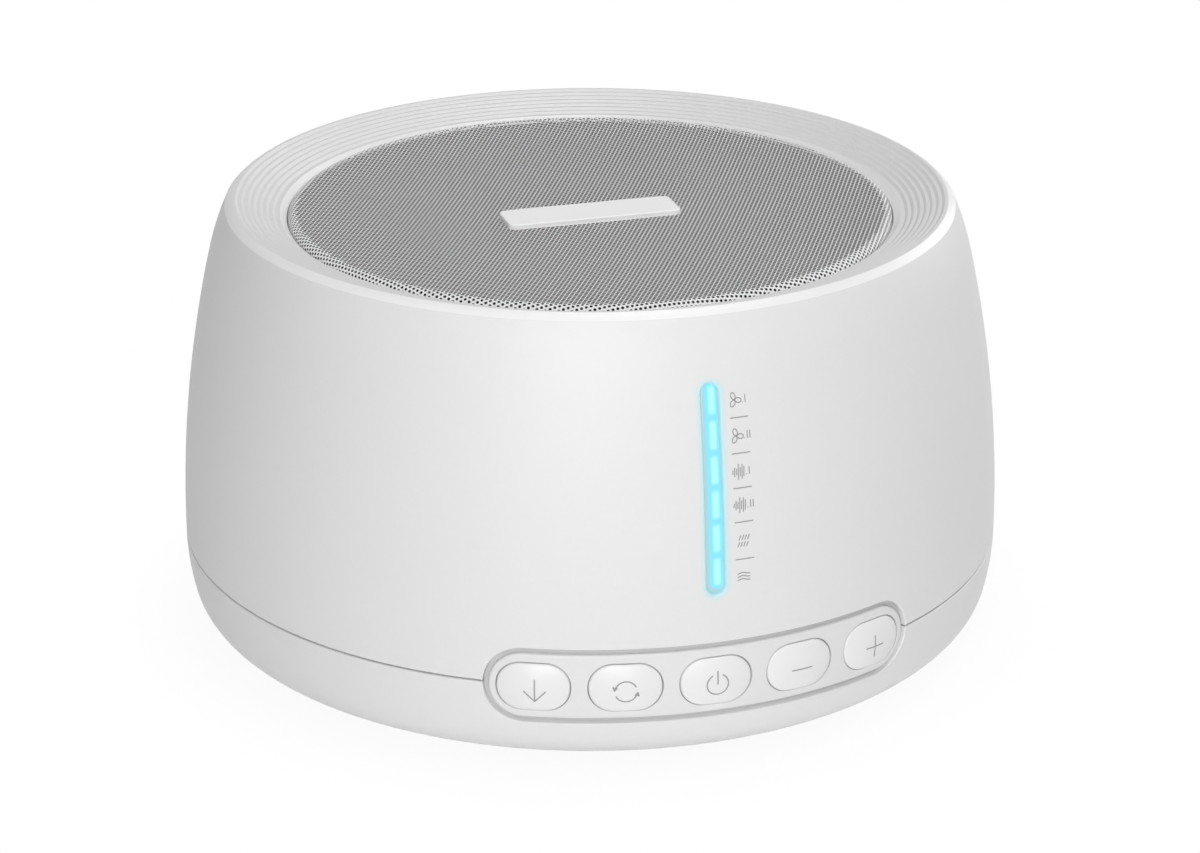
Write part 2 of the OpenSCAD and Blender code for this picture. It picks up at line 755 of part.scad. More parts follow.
grille_flat_r = grille_r - grille_round;
function dish_z(r) = grille_edge_z - grille_dish * (1 - pow(r / grille_flat_r, 2));
function dish_pts(t, r_end) = [for (i = [0:10]) [r_end * i / 10, dish_z(r_end * i / 10) - t]];
dish_end_r = grille_flat_r - 0.5;
// Outline of the pan at a depth t below its outside, from the middle to the foot
function pan_curve(t) = concat(dish_pts(t, dish_end_r),
    arc_pts([grille_flat_r, grille_edge_z - grille_round], grille_round - t, 90, 0, 5),
    [[grille_r - t, shelf_top]]);

module speaker_grille() color(key_white) revolve(concat(pan_curve(0), reversed(pan_curve(grille_t))));

cloth_r = grille_flat_r - 1.2;
cloth_gap = 0.02;
module acoustic_cloth() color(dark) revolve(concat(
    dish_pts(grille_t + cloth_gap, cloth_r),
    reversed(dish_pts(grille_t + cloth_gap + cloth_t, cloth_r))));

module name_plate() color(key_white) difference() {
    translate([0, 0, dish_z(0) - over]) linear_extrude(plate_t + over)
        rounded_rect(plate_l, plate_w, plate_corner);
    revolve(concat(dish_pts(0, dish_end_r),
        [[dish_end_r, dish_z(0) - 2 * over], [0, dish_z(0) - 2 * over]]));
}

// ---------- speaker ----------

// Levels of the speaker, which hangs face up under the shelf
speaker_r = speaker_cutout_r + speaker_flange_w;
speaker_z = shelf_z - gasket_t;
top_plate_z = speaker_z - basket_depth;
magnet_z = top_plate_z - pole_plate_t;
yoke_z = magnet_z - magnet_h;
ledge_z = speaker_z - 11;
cone_t = 0.5;
cone_top = speaker_z - 0.3;
cone_z = cone_top - cone_depth;
// Radii of the frame
surround_land_r = speaker_cutout_r - 0.9;
land_w = 1.8;
land_t = 0.5;
bowl_r = 25.5;
ledge_r = 20.5;
frame_land = 1.2;
window_w = 14;
window_inner_r = 24;
window_top_gap = 1.6;
speaker_screw_ring = (speaker_cutout_r + speaker_r) / 2;
speaker_screw_l = 5;

module at_speaker_screws() for (a = [45, 135, 225, 315]) toward(a)
    translate([0, -speaker_screw_ring, 0]) children();

module speaker_gasket() color(dark) difference() {
    ring(surround_land_r + land_w + hole_gap, speaker_r, speaker_z, shelf_z);
    at_speaker_screws() translate([0, 0, speaker_z - over])
        cylinder(r = small_screw_r + hole_gap, h = gasket_t + 2 * over);
}

module speaker_basket() color("#3a3d41") difference() {
    revolve([
        [speaker_r, speaker_z], [speaker_r, speaker_z - basket_t],
        [surround_land_r + 1, speaker_z - basket_t], [bowl_r + basket_t, ledge_z - basket_t],
        [ledge_r + basket_t, ledge_z - basket_t], [ledge_r + basket_t, top_plate_z],
        [gap_r + frame_land, top_plate_z], [gap_r + frame_land, top_plate_z + basket_t],
        [ledge_r, top_plate_z + basket_t], [ledge_r, ledge_z],
        [bowl_r, ledge_z], [surround_land_r, speaker_z - basket_t],
        [surround_land_r, speaker_z]]);
    for (a = [0:60:300]) rotate([0, 0, a])
        translate([window_inner_r, -window_w / 2, ledge_z + over])
            cube([surround_land_r + over - window_inner_r, window_w,
                speaker_z - basket_t - window_top_gap - ledge_z - over]);
    at_speaker_screws() translate([0, 0, speaker_z - 2 * over])
        cylinder(r = small_screw_r + hole_gap, h = 3 * over);
}

magnet_gap = 4.3;
module speaker_top_plate() color(steel) ring(gap_r, magnet_r - 3, magnet_z, top_plate_z);
module speaker_magnet() color("#33353a") ring(pole_r + magnet_gap, magnet_r, yoke_z, magnet_z);
module speaker_yoke() color(steel) {
    translate([0, 0, yoke_z - pole_plate_t]) cylinder(r = magnet_r - 2, h = pole_plate_t);
    translate([0, 0, yoke_z - eps]) cylinder(r = pole_r, h = top_plate_z - yoke_z + eps);
}

// The coil's tube is glued to the cone's neck and stays in the magnet's gap as it moves
coil_t = 0.4;
coil_reach = 2 * cone_travel;
neck_h = 0.6;
module voice_coil() color("#b87333")
    ring(coil_r - coil_t, coil_r, magnet_z - coil_reach, cone_z + neck_h);

module speaker_cone() color("#26282b") revolve([
    [coil_r, cone_z], [cone_r, cone_top - cone_t], [cone_r, cone_top],
    [coil_r, cone_z + cone_t]]);

cap_r = 12;
cap_rise = 4;
cap_t = 0.4;
cap_sphere_r = (cap_r * cap_r + cap_rise * cap_rise) / (2 * cap_rise);
cap_half_a = asin(cap_r / cap_sphere_r);
cap_base_z = cone_z + cone_t + (cap_r - coil_r) / (cone_r - coil_r) * (cone_depth - cone_t)
    + cap_t * cos(cap_half_a);
cap_c = [0, cap_base_z + cap_rise - cap_sphere_r];
module dust_cap() color("#2e3033") revolve(concat(
    arc_pts(cap_c, cap_sphere_r, 90 - cap_half_a, 90, 8),
    arc_pts(cap_c, cap_sphere_r - cap_t, 90, 90 - cap_half_a, 8)));

// Half-round rubber edge from the cone to its land on the frame
roll_r = (surround_land_r - cone_r) / 2;
roll_c = [cone_r + roll_r, speaker_z];
module surround() color("#1d1e20") revolve(concat(
    [[surround_land_r + land_w, speaker_z], [surround_land_r + land_w, speaker_z + land_t]],
    arc_pts(roll_c, roll_r + land_t / 2, 12, 168, 12),
    arc_pts(roll_c, roll_r - land_t / 2, 180, 0, 12), [[surround_land_r, speaker_z]]));

// Corrugated disc between the coil and the frame's ledge
spider_t = 0.4;
spider_end_r = bowl_r - 0.9;
spider_wave = 0.5;
wave_count = 4;
function spider_z(r) = ledge_z + spider_t / 2 + spider_wave / 2
    * (1 - cos(360 * wave_count * min(1, (r - coil_r) / (ledge_r - coil_r))));
function spider_line(t) = [for (i = [0:30]) let (r = coil_r + (spider_end_r - coil_r) * i / 30)
    [r, spider_z(r) + t]];
module spider() color("#b8893f")
    revolve(concat(spider_line(spider_t / 2), reversed(spider_line(-spider_t / 2))));

module speaker_screws() color(steel) at_speaker_screws()
    translate([0, 0, speaker_z - basket_t]) rotate([180, 0, 0])
        screw(small_screw_r, speaker_screw_l, small_head_r, small_head_h);

// Solder tags on a small block at the back of the frame
terminal_y = 26;
terminal_z = ledge_z - 3.5;
terminal_d = 8;
terminal_t = 1.2;
tag_pitch = 6;
tag_l = 3;
module speaker_terminals() color("#8a5a2c") {
    translate([-tag_pitch, terminal_y, terminal_z]) cube([2 * tag_pitch, terminal_d, terminal_t]);
    for (x = [-1, 1]) translate([x * tag_pitch / 2 - 1, terminal_y + 5, terminal_z - tag_l])
        cube([2, 0.6, tag_l + eps]);
}

wire_r = 0.7;
module speaker_wires() for (s = [-1, 1]) color(s < 0 ? "#b22222" : dark)
    wire_path([
        [s * tag_pitch / 2, terminal_y + 6.3, terminal_z - 2],
        [s * tag_pitch / 2, terminal_y + 8.5, terminal_z - 8],
        [s * tag_pitch / 2, speaker_header[1] + 4, 20],
        [s * tag_pitch / 4, speaker_header[1], board_top + header_h + lead_rise],
        [s * tag_pitch / 4, speaker_header[1], board_top + header_h - lead_depth]], wire_r);

// ---------- case screws and feet ----------

case_head_r = 2.8;
case_head_h = 1.8;
module case_screws() color(steel) at_columns() translate([0, 0, head_seat_z])
    rotate([180, 0, 45]) screw(case_screw_r, case_screw_l, case_head_r, case_head_h);

module rubber_feet() color("#4a4d50") at_feet()
    cylinder(r = foot_r, h = foot_h + foot_pocket);

// ---------- pieces ----------

base_shell();
upper_shell();
control_panel();
button_down();
button_cycle();
button_power();
button_minus();
button_plus();
plunger_down();
plunger_cycle();
plunger_power();
plunger_minus();
plunger_plus();
switch_housings();
switch_flex();
switch_carrier();
carrier_screws();
light_lens();
light_baffle();
indicator_leds();
indicator_board();
indicator_screws();
indicator_ribbon();
key_ribbon();
speaker_grille();
acoustic_cloth();
name_plate();
speaker_gasket();
speaker_basket();
speaker_top_plate();
speaker_magnet();
speaker_yoke();
speaker_cone();
dust_cap();
voice_coil();
surround();
spider();
speaker_screws();
speaker_terminals();
speaker_wires();
main_board();
processor_chip();
amplifier_chip();
memory_chip();
capacitors();
board_headers();
inlet_body();
inlet_pin();
board_screws();
case_screws();
rubber_feet();
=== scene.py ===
"""Dresses the CAD frame of a round white noise sound machine: shells, grille, light bar, keys."""

import math
from types import SimpleNamespace

import bpy
import numpy as np
from bpy.props import FloatProperty, FloatVectorProperty, IntProperty, PointerProperty
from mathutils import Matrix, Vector
from mathutils.geometry import delaunay_2d_cdt


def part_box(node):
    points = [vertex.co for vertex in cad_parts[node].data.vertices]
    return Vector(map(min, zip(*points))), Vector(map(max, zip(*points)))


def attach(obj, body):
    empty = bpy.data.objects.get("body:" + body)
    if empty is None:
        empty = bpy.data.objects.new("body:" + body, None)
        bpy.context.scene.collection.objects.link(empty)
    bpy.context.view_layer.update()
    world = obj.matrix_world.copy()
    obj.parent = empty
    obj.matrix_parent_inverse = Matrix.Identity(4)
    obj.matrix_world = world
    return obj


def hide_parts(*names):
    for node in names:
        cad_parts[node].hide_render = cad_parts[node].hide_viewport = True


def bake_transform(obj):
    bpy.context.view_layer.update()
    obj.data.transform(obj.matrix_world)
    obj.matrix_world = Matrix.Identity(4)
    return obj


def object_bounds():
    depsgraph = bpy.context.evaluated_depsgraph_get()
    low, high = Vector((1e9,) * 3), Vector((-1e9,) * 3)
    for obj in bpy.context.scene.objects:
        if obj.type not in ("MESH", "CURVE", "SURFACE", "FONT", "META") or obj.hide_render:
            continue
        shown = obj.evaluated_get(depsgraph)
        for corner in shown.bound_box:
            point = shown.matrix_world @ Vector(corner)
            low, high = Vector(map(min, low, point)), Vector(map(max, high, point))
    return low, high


bl_info = {
    "name": "White noise sound machine",
    "version": (1, 0, 0),
    "blender": (4, 5, 0),
    "location": "View3D > Sidebar > Sound machine",
    "description": "Builds the visible pieces of a round white noise sound machine on its CAD frame",
    "category": "Add Mesh",
}

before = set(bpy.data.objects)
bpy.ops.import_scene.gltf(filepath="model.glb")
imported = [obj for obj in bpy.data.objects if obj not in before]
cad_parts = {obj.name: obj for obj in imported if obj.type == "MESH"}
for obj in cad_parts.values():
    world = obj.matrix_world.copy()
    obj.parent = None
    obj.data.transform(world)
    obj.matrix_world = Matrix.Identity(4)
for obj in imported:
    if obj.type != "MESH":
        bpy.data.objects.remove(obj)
CAD_BOX = [list(corner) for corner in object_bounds()]

MM = 0.001
WELD_MM = 1e-4  # points that are nearer than this are one
SMOOTH_COS = 0.995  # cosine of the widest angle between normals over which an edge stays smooth
AXIS_R = 1e-6  # radius of a ring that stands for a point on an axis, in mm
NEARLY_ALL = 0.9999  # share of a radius that a flat ring covers where it closes a hole's end
PREFIX = "sound_machine_"
KEY_NAMES = ("down", "cycle", "power", "minus", "plus")
MIDDLE_KEY = (len(KEY_NAMES) - 1) / 2


# ---------- the sizes and colours a user would change ----------


def linear(code):
    """The linear colour of an sRGB hex code; a colour that is linear already stays as it is."""
    if not isinstance(code, str):
        return tuple(code)
    parts = [int(code[i : i + 2], 16) / 255 for i in (1, 3, 5)]
    return tuple(p / 12.92 if p <= 0.04045 else ((p + 0.055) / 1.055) ** 2.4 for p in parts)


def length(name, mm, text):
    return FloatProperty(name=name, description=text, default=mm * MM, unit="LENGTH", precision=5)


def angle(name, degrees, text):
    return FloatProperty(name=name, description=text, default=math.radians(degrees), subtype="ANGLE")


def count(name, number, text):
    return IntProperty(name=name, description=text, default=number, min=1)


def colour(name, code, text):
    return FloatVectorProperty(
        name=name, description=text, default=linear(code), subtype="COLOR", min=0, max=1
    )


class HousingSizes(bpy.types.PropertyGroup):
    body_r: length("Radius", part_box("upper_shell")[1].x / MM, "Widest radius, at the seam")
    body_h: length("Height", CAD_BOX[1][2] / MM, "Height of the rim's crest above the table")
    seam_z: length("Seam", 14.3, "Height of the seam between the shells")
    seam_gap: length("Seam gap", 0.24, "Open line between the shells")
    wall_arc_r: length("Wall curve", 185, "Radius of the side wall's long curve")
    shoulder_drop: length("Shoulder", 8.4, "How far below the crest the wall starts to curve in")
    shoulder_arc_r: length("Shoulder curve", 40, "Radius between the wall and the rim")
    rim_w: length("Rim chamfer width", 1.1, "Width of the chamfer outside the crest")
    rim_h: length("Rim chamfer height", 0.9, "Height of the chamfer outside the crest")
    base_arc_r: length("Base curve", 33, "Radius of the base's side")
    bottom_round: length("Bottom rounding", 7.2, "Rounding between the base's side and bottom")
    foot_h: length("Foot height", 1.2, "How far the feet hold the bottom off the table")
    wall: length("Wall", 2.4, "Thickness of both shells")
    tongue_t: length("Tongue", 1, "Thickness of the base's tongue behind the seam")
    tongue_h: length("Tongue height", 2.2, "Height of the tongue above the seam")
    tongue_play: length("Tongue play", 0.1, "Clearance between the tongue and its rebate")
    edge: length("Moulded edge", 0.2, "Rounding of the shells' small edges")
    slot_edge: length("Slot edge", 0.42, "Rounding of the light bar's slot")
    seam_edge: length("Seam edge", 0.2, "Rounding of the edges along the seam")
    step_count: count("Steps", 7, "Steps from the crest down to the grille")
    step_pitch: length("Step width", 0.9, "Width of one step")
    step_drop: length("Step drop", 0.345, "Drop of one step")
    step_edge: length("Step edge", 0.06, "Rounding of the steps' edges")
    riser_w: length("Riser width", 0.4, "Width of the slope between two steps")
    bevel_w: length("Bevel width", 1, "Width of the bevel inside the steps")
    bevel_h: length("Bevel drop", 0.8, "Drop of the bevel inside the steps")
    collar_t: length("Collar", 2.2, "Thickness of the collar around the grille")
    shelf_t: length("Shelf", 4, "Thickness of the shelf under the grille")
    cutout_r: length("Speaker opening", 34, "Radius of the opening in the shelf")
    foot_r: length("Foot radius", 5.5, "Radius of a rubber foot")
    foot_rim: length("Foot rim", 1.2, "Width of the rim that a foot stands on")
    foot_slope: length("Foot slope", 0.4, "Width of the slope inside the rim")
    foot_hollow: length("Foot hollow", 0.25, "Depth of the hollow inside the rim")
    foot_play: length("Foot play", 0.1, "Clearance around a rubber foot")
    foot_pocket: length("Foot pocket", 0.6, "Depth of the pockets that hold the feet")
    foot_ring_r: length("Feet", 46, "Distance of the feet from the middle")
    screw_ring_r: length("Case screws", 49.5, "Distance of the case screws from the middle")
    screw_bore_r: length("Screw bore", 1.4, "Radius of the bore in a case screw's recess")
    recess_r: length("Screw recess", 3.1, "Radius of the recesses of the case screws")
    recess_top: length("Recess depth", 7.6, "Height of the seat of a case screw's head")
    inlet_z: length("Inlet height", 10, "Height of the power inlet's axis")
    inlet_hole_r: length("Inlet hole", 3.55, "Radius of the hole around the inlet's nose")


class GrilleSizes(bpy.types.PropertyGroup):
    outer_r: length("Radius", 45, "Outer radius of the grille's skirt")
    gap: length("Gap", 0.12, "Clearance between the grille and its collar")
    pan_h: length("Pan height", 3.75, "Height of the pan at its edge")
    bend: length("Bend", 1.2, "Outer rounding of the pan's edge")
    dish: length("Dish", 1.8, "How much lower the middle lies than the edge")
    rise: length("Edge rise", 0.17, "How far the edge stands above the lowest step")
    sheet_t: length("Sheet", 0.6, "Thickness of the sheet")
    hole_pitch: length("Hole pitch", 0.687, "Distance between the holes of a row")
    row_pitch: length("Row pitch", 0.665, "Distance between rows of holes")
    hole_r: length("Hole radius", 0.308, "Radius of one hole")
    bend_hole_r: length("Bend hole radius", 0.235, "Radius of a hole in the bend")
    plain_hem: length("Plain hem", 1.1, "Width of the sheet's edge that has no holes")
    cloth_hem: length("Cloth hem", 0.8, "How far the cloth is turned down below the bend")
    cloth_play: length("Cloth play", 0.03, "Clearance between the sheet and the cloth")
    plate_l: length("Plate length", 26.6, "Length of the bare plate")
    plate_w: length("Plate width", 7.2, "Width of the bare plate")
    plate_t: length("Plate thickness", 0.8, "Height of the plate above the grille's middle")
    plate_corner: length("Plate corner", 1.2, "Corner radius of the plate")
    plate_edge: length("Plate edge", 0.22, "Rounding of the plate's edge")


class PanelSizes(bpy.types.PropertyGroup):
    key_w: length("Key opening width", 10.5, "Width of a key's opening")
    key_h: length("Key opening height", 7.3, "Height of a key's opening")
    low: length("Drop below seam", 0.25, "How far the panel's middle line lies below the seam")
    key_corner: length("Key opening corner", 3.55, "Corner radius of a key's opening")
    key_pitch: angle("Key pitch", 11.85, "Angle from one key to the next")
    key_gap: length("Key gap", 0.09, "Clearance around a key")
    key_rise: length("Key rise", 0.73, "How far a key's middle stands out")
    key_dome_w: length("Key dome across", 14, "Radius of a key's dome along the panel")
    key_dome_h: length("Key dome upright", 10, "Radius of a key's dome up and down")
    key_edge: length("Key edge", 0.28, "Rounding around a key's dome")
    flange_w: length("Flange width", 0.5, "How far a key's flange reaches past its opening")
    flange_gap: length("Flange gap", 0.3, "Clearance between the panel and a key's flange")
    flange_t: length("Flange thickness", 0.8, "Thickness of a key's flange")
    stem_r: length("Stem radius", 2, "Radius of a key's stem")
    stem_end: length("Stem end", 2.2, "How far the stem's end lies behind the flange's face")
    margin_x: length("End margin", 1.9, "From the outer keys to the pocket's ends")
    margin_z: length("Side margin", 2.08, "From the keys to the pocket's long sides")
    groove_w: length("Groove width", 0.75, "Width of the groove around the panel")
    groove_depth: length("Groove depth", 0.8, "Depth of the groove around the panel")
    foot_gap: length("Foot gap", 0.05, "Clearance between the panel's foot and its pocket")
    ledge_w: length("Ledge", 1, "Width of the ledge that carries the panel")
    panel_t: length("Panel thickness", 1.6, "Thickness of the panel")
    edge: length("Panel edge", 0.45, "Rounding of the panel's outer edge")
    opening_edge: length("Opening edge", 0.1, "Rounding of the openings' edges")
    mark_line: length("Mark line", 0.2, "Line width of the keys' marks")


class LightBarSizes(bpy.types.PropertyGroup):
    bar_w: length("Width", 2.6, "Width of the light bar")
    bar_l: length("Length", 29.4, "Length of the light bar")
    bar_drop: length("Drop", 24.4, "How far below the crest its middle lies")
    recess: length("Recess", 0.9, "Depth of the lens below the wall")
    lens_gap: length("Lens gap", 0.05, "Clearance around the lens")
    lens_edge: length("Lens edge", 0.35, "Rounding of the lens's edge")
    segments: count("Segments", 6, "Number of lit segments")
    pitch: length("Segment pitch", 4.8, "Distance from one segment to the next")
    # The lit pattern and its painted shade border are shifted right and up, so that the painted shade
    # shows on the left and at the bottom
    lit_shift: length("Lit shift", 0.42, "How far the lit middle lies to the right of the lens's own")
    # Reach of the painted glow that stands for the light bar's light on the wall
    glow: length("Glow", 1.15, "How far the light spreads into the wall")
    mark_line: length("Mark line", 0.15, "Line width of the printed marks")
    mark_x: length("Marks", 4.05, "How far the marks lie to the right of the bar")


class SpeakerSizes(bpy.types.PropertyGroup):
    sectors: count("Sectors", 16, "How many sectors the flexing rings are cut into")
    land_w: length("Land", 1.8, "Width of the rubber edge's land on the frame")
    land_t: length("Edge thickness", 0.5, "Thickness of the rubber edge")
    ledge_r: length("Ledge radius", 20.5, "Where the corrugated disc's flat land starts")
    disc_t: length("Disc thickness", 0.4, "Thickness of the corrugated disc")
    waves: count("Waves", 4, "Number of waves from the coil to the ledge")


class MachineColours(bpy.types.PropertyGroup):
    shell: colour("Shell", "#ECECEC", "White of the shells")
    # Painted highlight: the rim's chamfer and bevel get a whiter copy of the shell's white, for the
    # light they catch
    rim: colour("Rim", "#FAFAFA", "White of the rim's polished chamfer and bevel")
    panel: colour("Panel", "#EAEAEA", "White of the key panel")
    key: colour("Keys", "#F2F2F2", "White of the keys")
    grille: colour("Grille", "#FFFFFF", "White of the grille's paint")
    plate: colour("Plate", "#FFFFFF", "White of the bare plate")
    # Painted shade: this grey stands for the shade in the groove around the key panel and along the
    # thin edges of the key openings
    groove: colour("Groove", "#C9C9C9", "Grey of the groove around the key panel")
    mark: colour("Wall marks", "#9C9C9C", "Grey of the marks beside the light bar")
    key_mark: colour("Key marks", "#A6A6A6", "Grey of the marks on the keys")
    light: colour("Light", "#86E1FB", "Colour of the light at a segment's edge")
    light_core: colour("Light core", "#B2FEFF", "Colour of the light at a segment's middle")
    # Painted shade: the lens's dimmer border stands for the shade along its left and bottom edges
    light_border: colour("Light border", "#A9CFD3", "Colour of the lens's dimmer border")
    unlit_lens: colour("Unlit lens", "#1E3A40", "Colour of the lens itself")


class StageSizes(bpy.types.PropertyGroup):
    azimuth: angle("Azimuth", -16.4, "Direction of the camera from the front")
    elevation: angle("Elevation", 22.06, "Height of the camera above the horizon")
    distance: length("Distance", 525, "Distance of the camera from what it looks at")
    look_at: length("Look-at height", 27.9, "Height of the point the camera looks at")
    lens: FloatProperty(name="Lens", description="Focal length in mm", default=102.9)
    shift: FloatProperty(name="Shift", description="Sideways shift of the frame", default=0.0083)
    lamp_height: length("Lamp target", 30, "Height of the point the lamps shine at")
    floor_reach: length("Floor", 2500, "Distance from the middle to the floor's sides")


GROUPS = {
    "housing": HousingSizes,
    "grille": GrilleSizes,
    "panel": PanelSizes,
    "light_bar": LightBarSizes,
    "speaker": SpeakerSizes,
    "colours": MachineColours,
    "stage": StageSizes,
}


def properties(group):
    """A group in the scene, and its own properties."""
    owner = getattr(bpy.context.scene, PREFIX + group)
    own = [p for p in owner.bl_rna.properties if p.identifier not in ("rna_type", "name")]
    return owner, own


def sizes(group):
    """A group's lengths in millimetres, and its other values as they are."""
    owner, own = properties(group)
    values = {}
    for item in own:
        value = getattr(owner, item.identifier)
        values[item.identifier] = round(value / MM, 4) if item.unit == "LENGTH" else value
    return SimpleNamespace(**values)


# ---------- meshes, in millimetres, with a normal at every corner ----------


def unit(rows):
    """Vectors of length 1 in the same directions."""
    return rows / np.maximum(np.linalg.norm(rows, axis=1, keepdims=True), 1e-9)


def grid_faces(rows, columns, closed=False):
    """Four-sided faces between grid points; closed joins the last column to the first."""
    index = np.arange(rows * columns).reshape(rows, columns)
    if closed:
        index = np.hstack([index, index[:, :1]])
    corners = index[:-1, :-1], index[:-1, 1:], index[1:, 1:], index[1:, :-1]
    return np.stack(corners, -1).reshape(-1, 4)


class Skin:
    """Collects patches of faces and makes one mesh of them, welded where they meet."""

    def __init__(self):
        self.points, self.normals, self.faces, self.slots, self.size = [], [], [], [], 0

    def add(self, points, normals, faces, slot=0):
        faces = np.asarray(faces, int)
        self.points.append(np.asarray(points, float).reshape(-1, 3))
        self.normals.append(np.asarray(normals, float).reshape(-1, 3))
        self.faces.append(faces + self.size)
        self.slots.append(np.full(len(faces), slot))
        self.size += len(self.points[-1])

    def add_grid(self, points, normals, slot=0, closed=False):
        """Rows of points with a normal at each."""
        self.add(points, normals, grid_faces(*np.shape(points)[:2], closed), slot)

    def add_rows(self, rows, slot=0, closed=False):
        """The same, for rows that each come from a place function."""
        self.add_grid(*zip(*(row[:2] for row in rows)), slot, closed)

    def build(self, name, materials):
        points, normals = np.concatenate(self.points), unit(np.concatenate(self.normals))
        keys = np.round(points / WELD_MM).astype(np.int64)
        _, first, welded = np.unique(keys, axis=0, return_index=True, return_inverse=True)
        welded = welded.ravel()
        corners, lengths, slots = [], [], []
        for faces, slot in zip(self.faces, self.slots):
            across = points[faces[:, 2]] - points[faces[:, 0]]
            other = points[faces[:, -1]] - points[faces[:, 1]]
            turned = np.einsum("ij,ij->i", np.cross(across, other), normals[faces].sum(1)) < 0
            faces = np.where(turned[:, None], faces[:, ::-1], faces)
            # A four-sided face with one side of no length becomes a triangle; smaller ones go
            meets = welded[faces] == welded[np.roll(faces, -1, axis=1)]
            whole, cut = ~meets.any(1), (meets.sum(1) == 1) & (faces.shape[1] == 4)
            corners += [faces[whole].ravel(), faces[cut][~meets[cut]]]
            lengths += [np.full(whole.sum(), faces.shape[1]), np.full(cut.sum(), 3)]
            slots += [slot[whole], slot[cut]]
        corners, lengths, slots = (np.concatenate(a) for a in (corners, lengths, slots))
        mesh = bpy.data.meshes.new(name)
        mesh.vertices.add(len(first))
        mesh.vertices.foreach_set("co", (points[first] * MM).ravel())
        mesh.loops.add(len(corners))
        mesh.loops.foreach_set("vertex_index", welded[corners])
        mesh.polygons.add(len(lengths))
        mesh.polygons.foreach_set("loop_start", np.cumsum(lengths) - lengths)
        mesh.polygons.foreach_set("material_index", slots)
        for material in materials:
            mesh.materials.append(material)
        mesh.update(calc_edges=True)
        split_where_normals_part(mesh, normals[corners])
        mesh.normals_split_custom_set(normals[corners])
        piece = bpy.data.objects.new(name, mesh)
        bpy.context.scene.collection.objects.link(piece)
        return piece


def split_where_normals_part(mesh, normals):
    """Marks an edge sharp where the corner normals of its two faces differ."""
    edges = np.empty(len(mesh.loops), int)
    starts, totals = (np.empty(len(mesh.polygons), int) for _ in range(2))
    mesh.loops.foreach_get("edge_index", edges)
    mesh.polygons.foreach_get("loop_start", starts)
    mesh.polygons.foreach_get("loop_total", totals)
    onward = np.arange(len(edges)) + 1
    onward[starts + totals - 1] = starts
    order = np.argsort(edges, kind="stable")
    uses = np.bincount(edges, minlength=len(mesh.edges))
    sharp = uses != 2
    first = (np.cumsum(uses) - uses)[uses == 2]
    one, other = order[first], order[first + 1]
    near = np.einsum("ij,ij->i", normals[one], normals[onward[other]])
    far = np.einsum("ij,ij->i", normals[onward[one]], normals[other])
    sharp[uses == 2] = np.minimum(near, far) < SMOOTH_COS
    mesh.attributes.new("sharp_edge", "BOOLEAN", "EDGE").data.foreach_set("value", sharp)


def spread(first, last, step=1.0):
    """Evenly spaced values from a first to a last one."""
    return np.arange(first, last + step / 2, step)


def degrees(first, last, step=1.0):
    """Evenly spaced angles in radians, from a first to a last one that are given in degrees."""
    return np.radians(spread(first, last, step))


def bearings(turns):
    """Directions on the ground; angle 0 is the front, and angles grow towards the right."""
    return np.stack([np.sin(turns), -np.cos(turns)], 1)


FULL_TURN = degrees(0, 360)


def arc(centre, radius, start, end, steps):
    """Points and outward normals of an arc, as rows of r, z, nr, nz; angles in radians."""
    a = np.linspace(start, end, steps + 1)
    normal = np.stack([np.cos(a), np.sin(a)], 1)
    return np.hstack([np.asarray(centre) + radius * normal, normal * np.sign(radius)])


def facing_in(rows):
    """The same profile with its normals turned round."""
    return rows * [1, 1, -1, -1]


def filleted(points, rounding, steps=2):
    """Straight runs with rounded corners between them, as profile rows; the ends stay sharp."""
    points = np.asarray(points, float)
    runs, start = [], points[0]
    for i in range(1, len(points)):
        along = points[i] - points[i - 1]
        along /= np.linalg.norm(along)
        normal = np.array([along[1], -along[0]])
        if i == len(points) - 1:
            runs.append(np.array([[*start, *normal], [*points[i], *normal]]))
            break
        onward = points[i + 1] - points[i]
        onward /= np.linalg.norm(onward)
        turn = math.atan2(along[0] * onward[1] - along[1] * onward[0], along @ onward)
        back = rounding * math.tan(abs(turn) / 2)
        stop = points[i] - along * back
        runs.append(np.array([[*start, *normal], [*stop, *normal]]))
        centre = stop - normal * rounding * np.sign(turn)
        a = math.atan2(normal[1], normal[0]) + np.linspace(0, turn, steps + 1)
        normals = np.stack([np.cos(a), np.sin(a)], 1)
        runs.append(np.hstack([centre + rounding * np.sign(turn) * normals, normals]))
        start = points[i] + onward * back
    return runs


def straight(points):
    """Straight runs between points, as profile rows, each with its own normal."""
    return [filleted(pair, 0)[0] for pair in zip(points, points[1:])]


def lathe(skin, runs, turns=FULL_TURN, at=(0, 0), slot=0):
    """Turns profiles about the vertical axis through a point."""
    sin, cos, level = np.sin(turns), -np.cos(turns), np.ones(len(turns))
    for rows in runs:
        r, z, nr, nz = (rows[:, i, None] for i in range(4))
        points = np.stack([at[0] + r * sin, at[1] + r * cos, z * level], -1)
        skin.add_grid(points, np.stack([nr * sin, nr * cos, nz * level], -1), slot)


def tube(skin, at, low, high, outer, inner):
    """An upright tube with flat ends."""
    ring = [(outer, low), (outer, high), (inner, high), (inner, low), (outer, low)]
    lathe(skin, straight(ring), degrees(0, 360, 10), at)


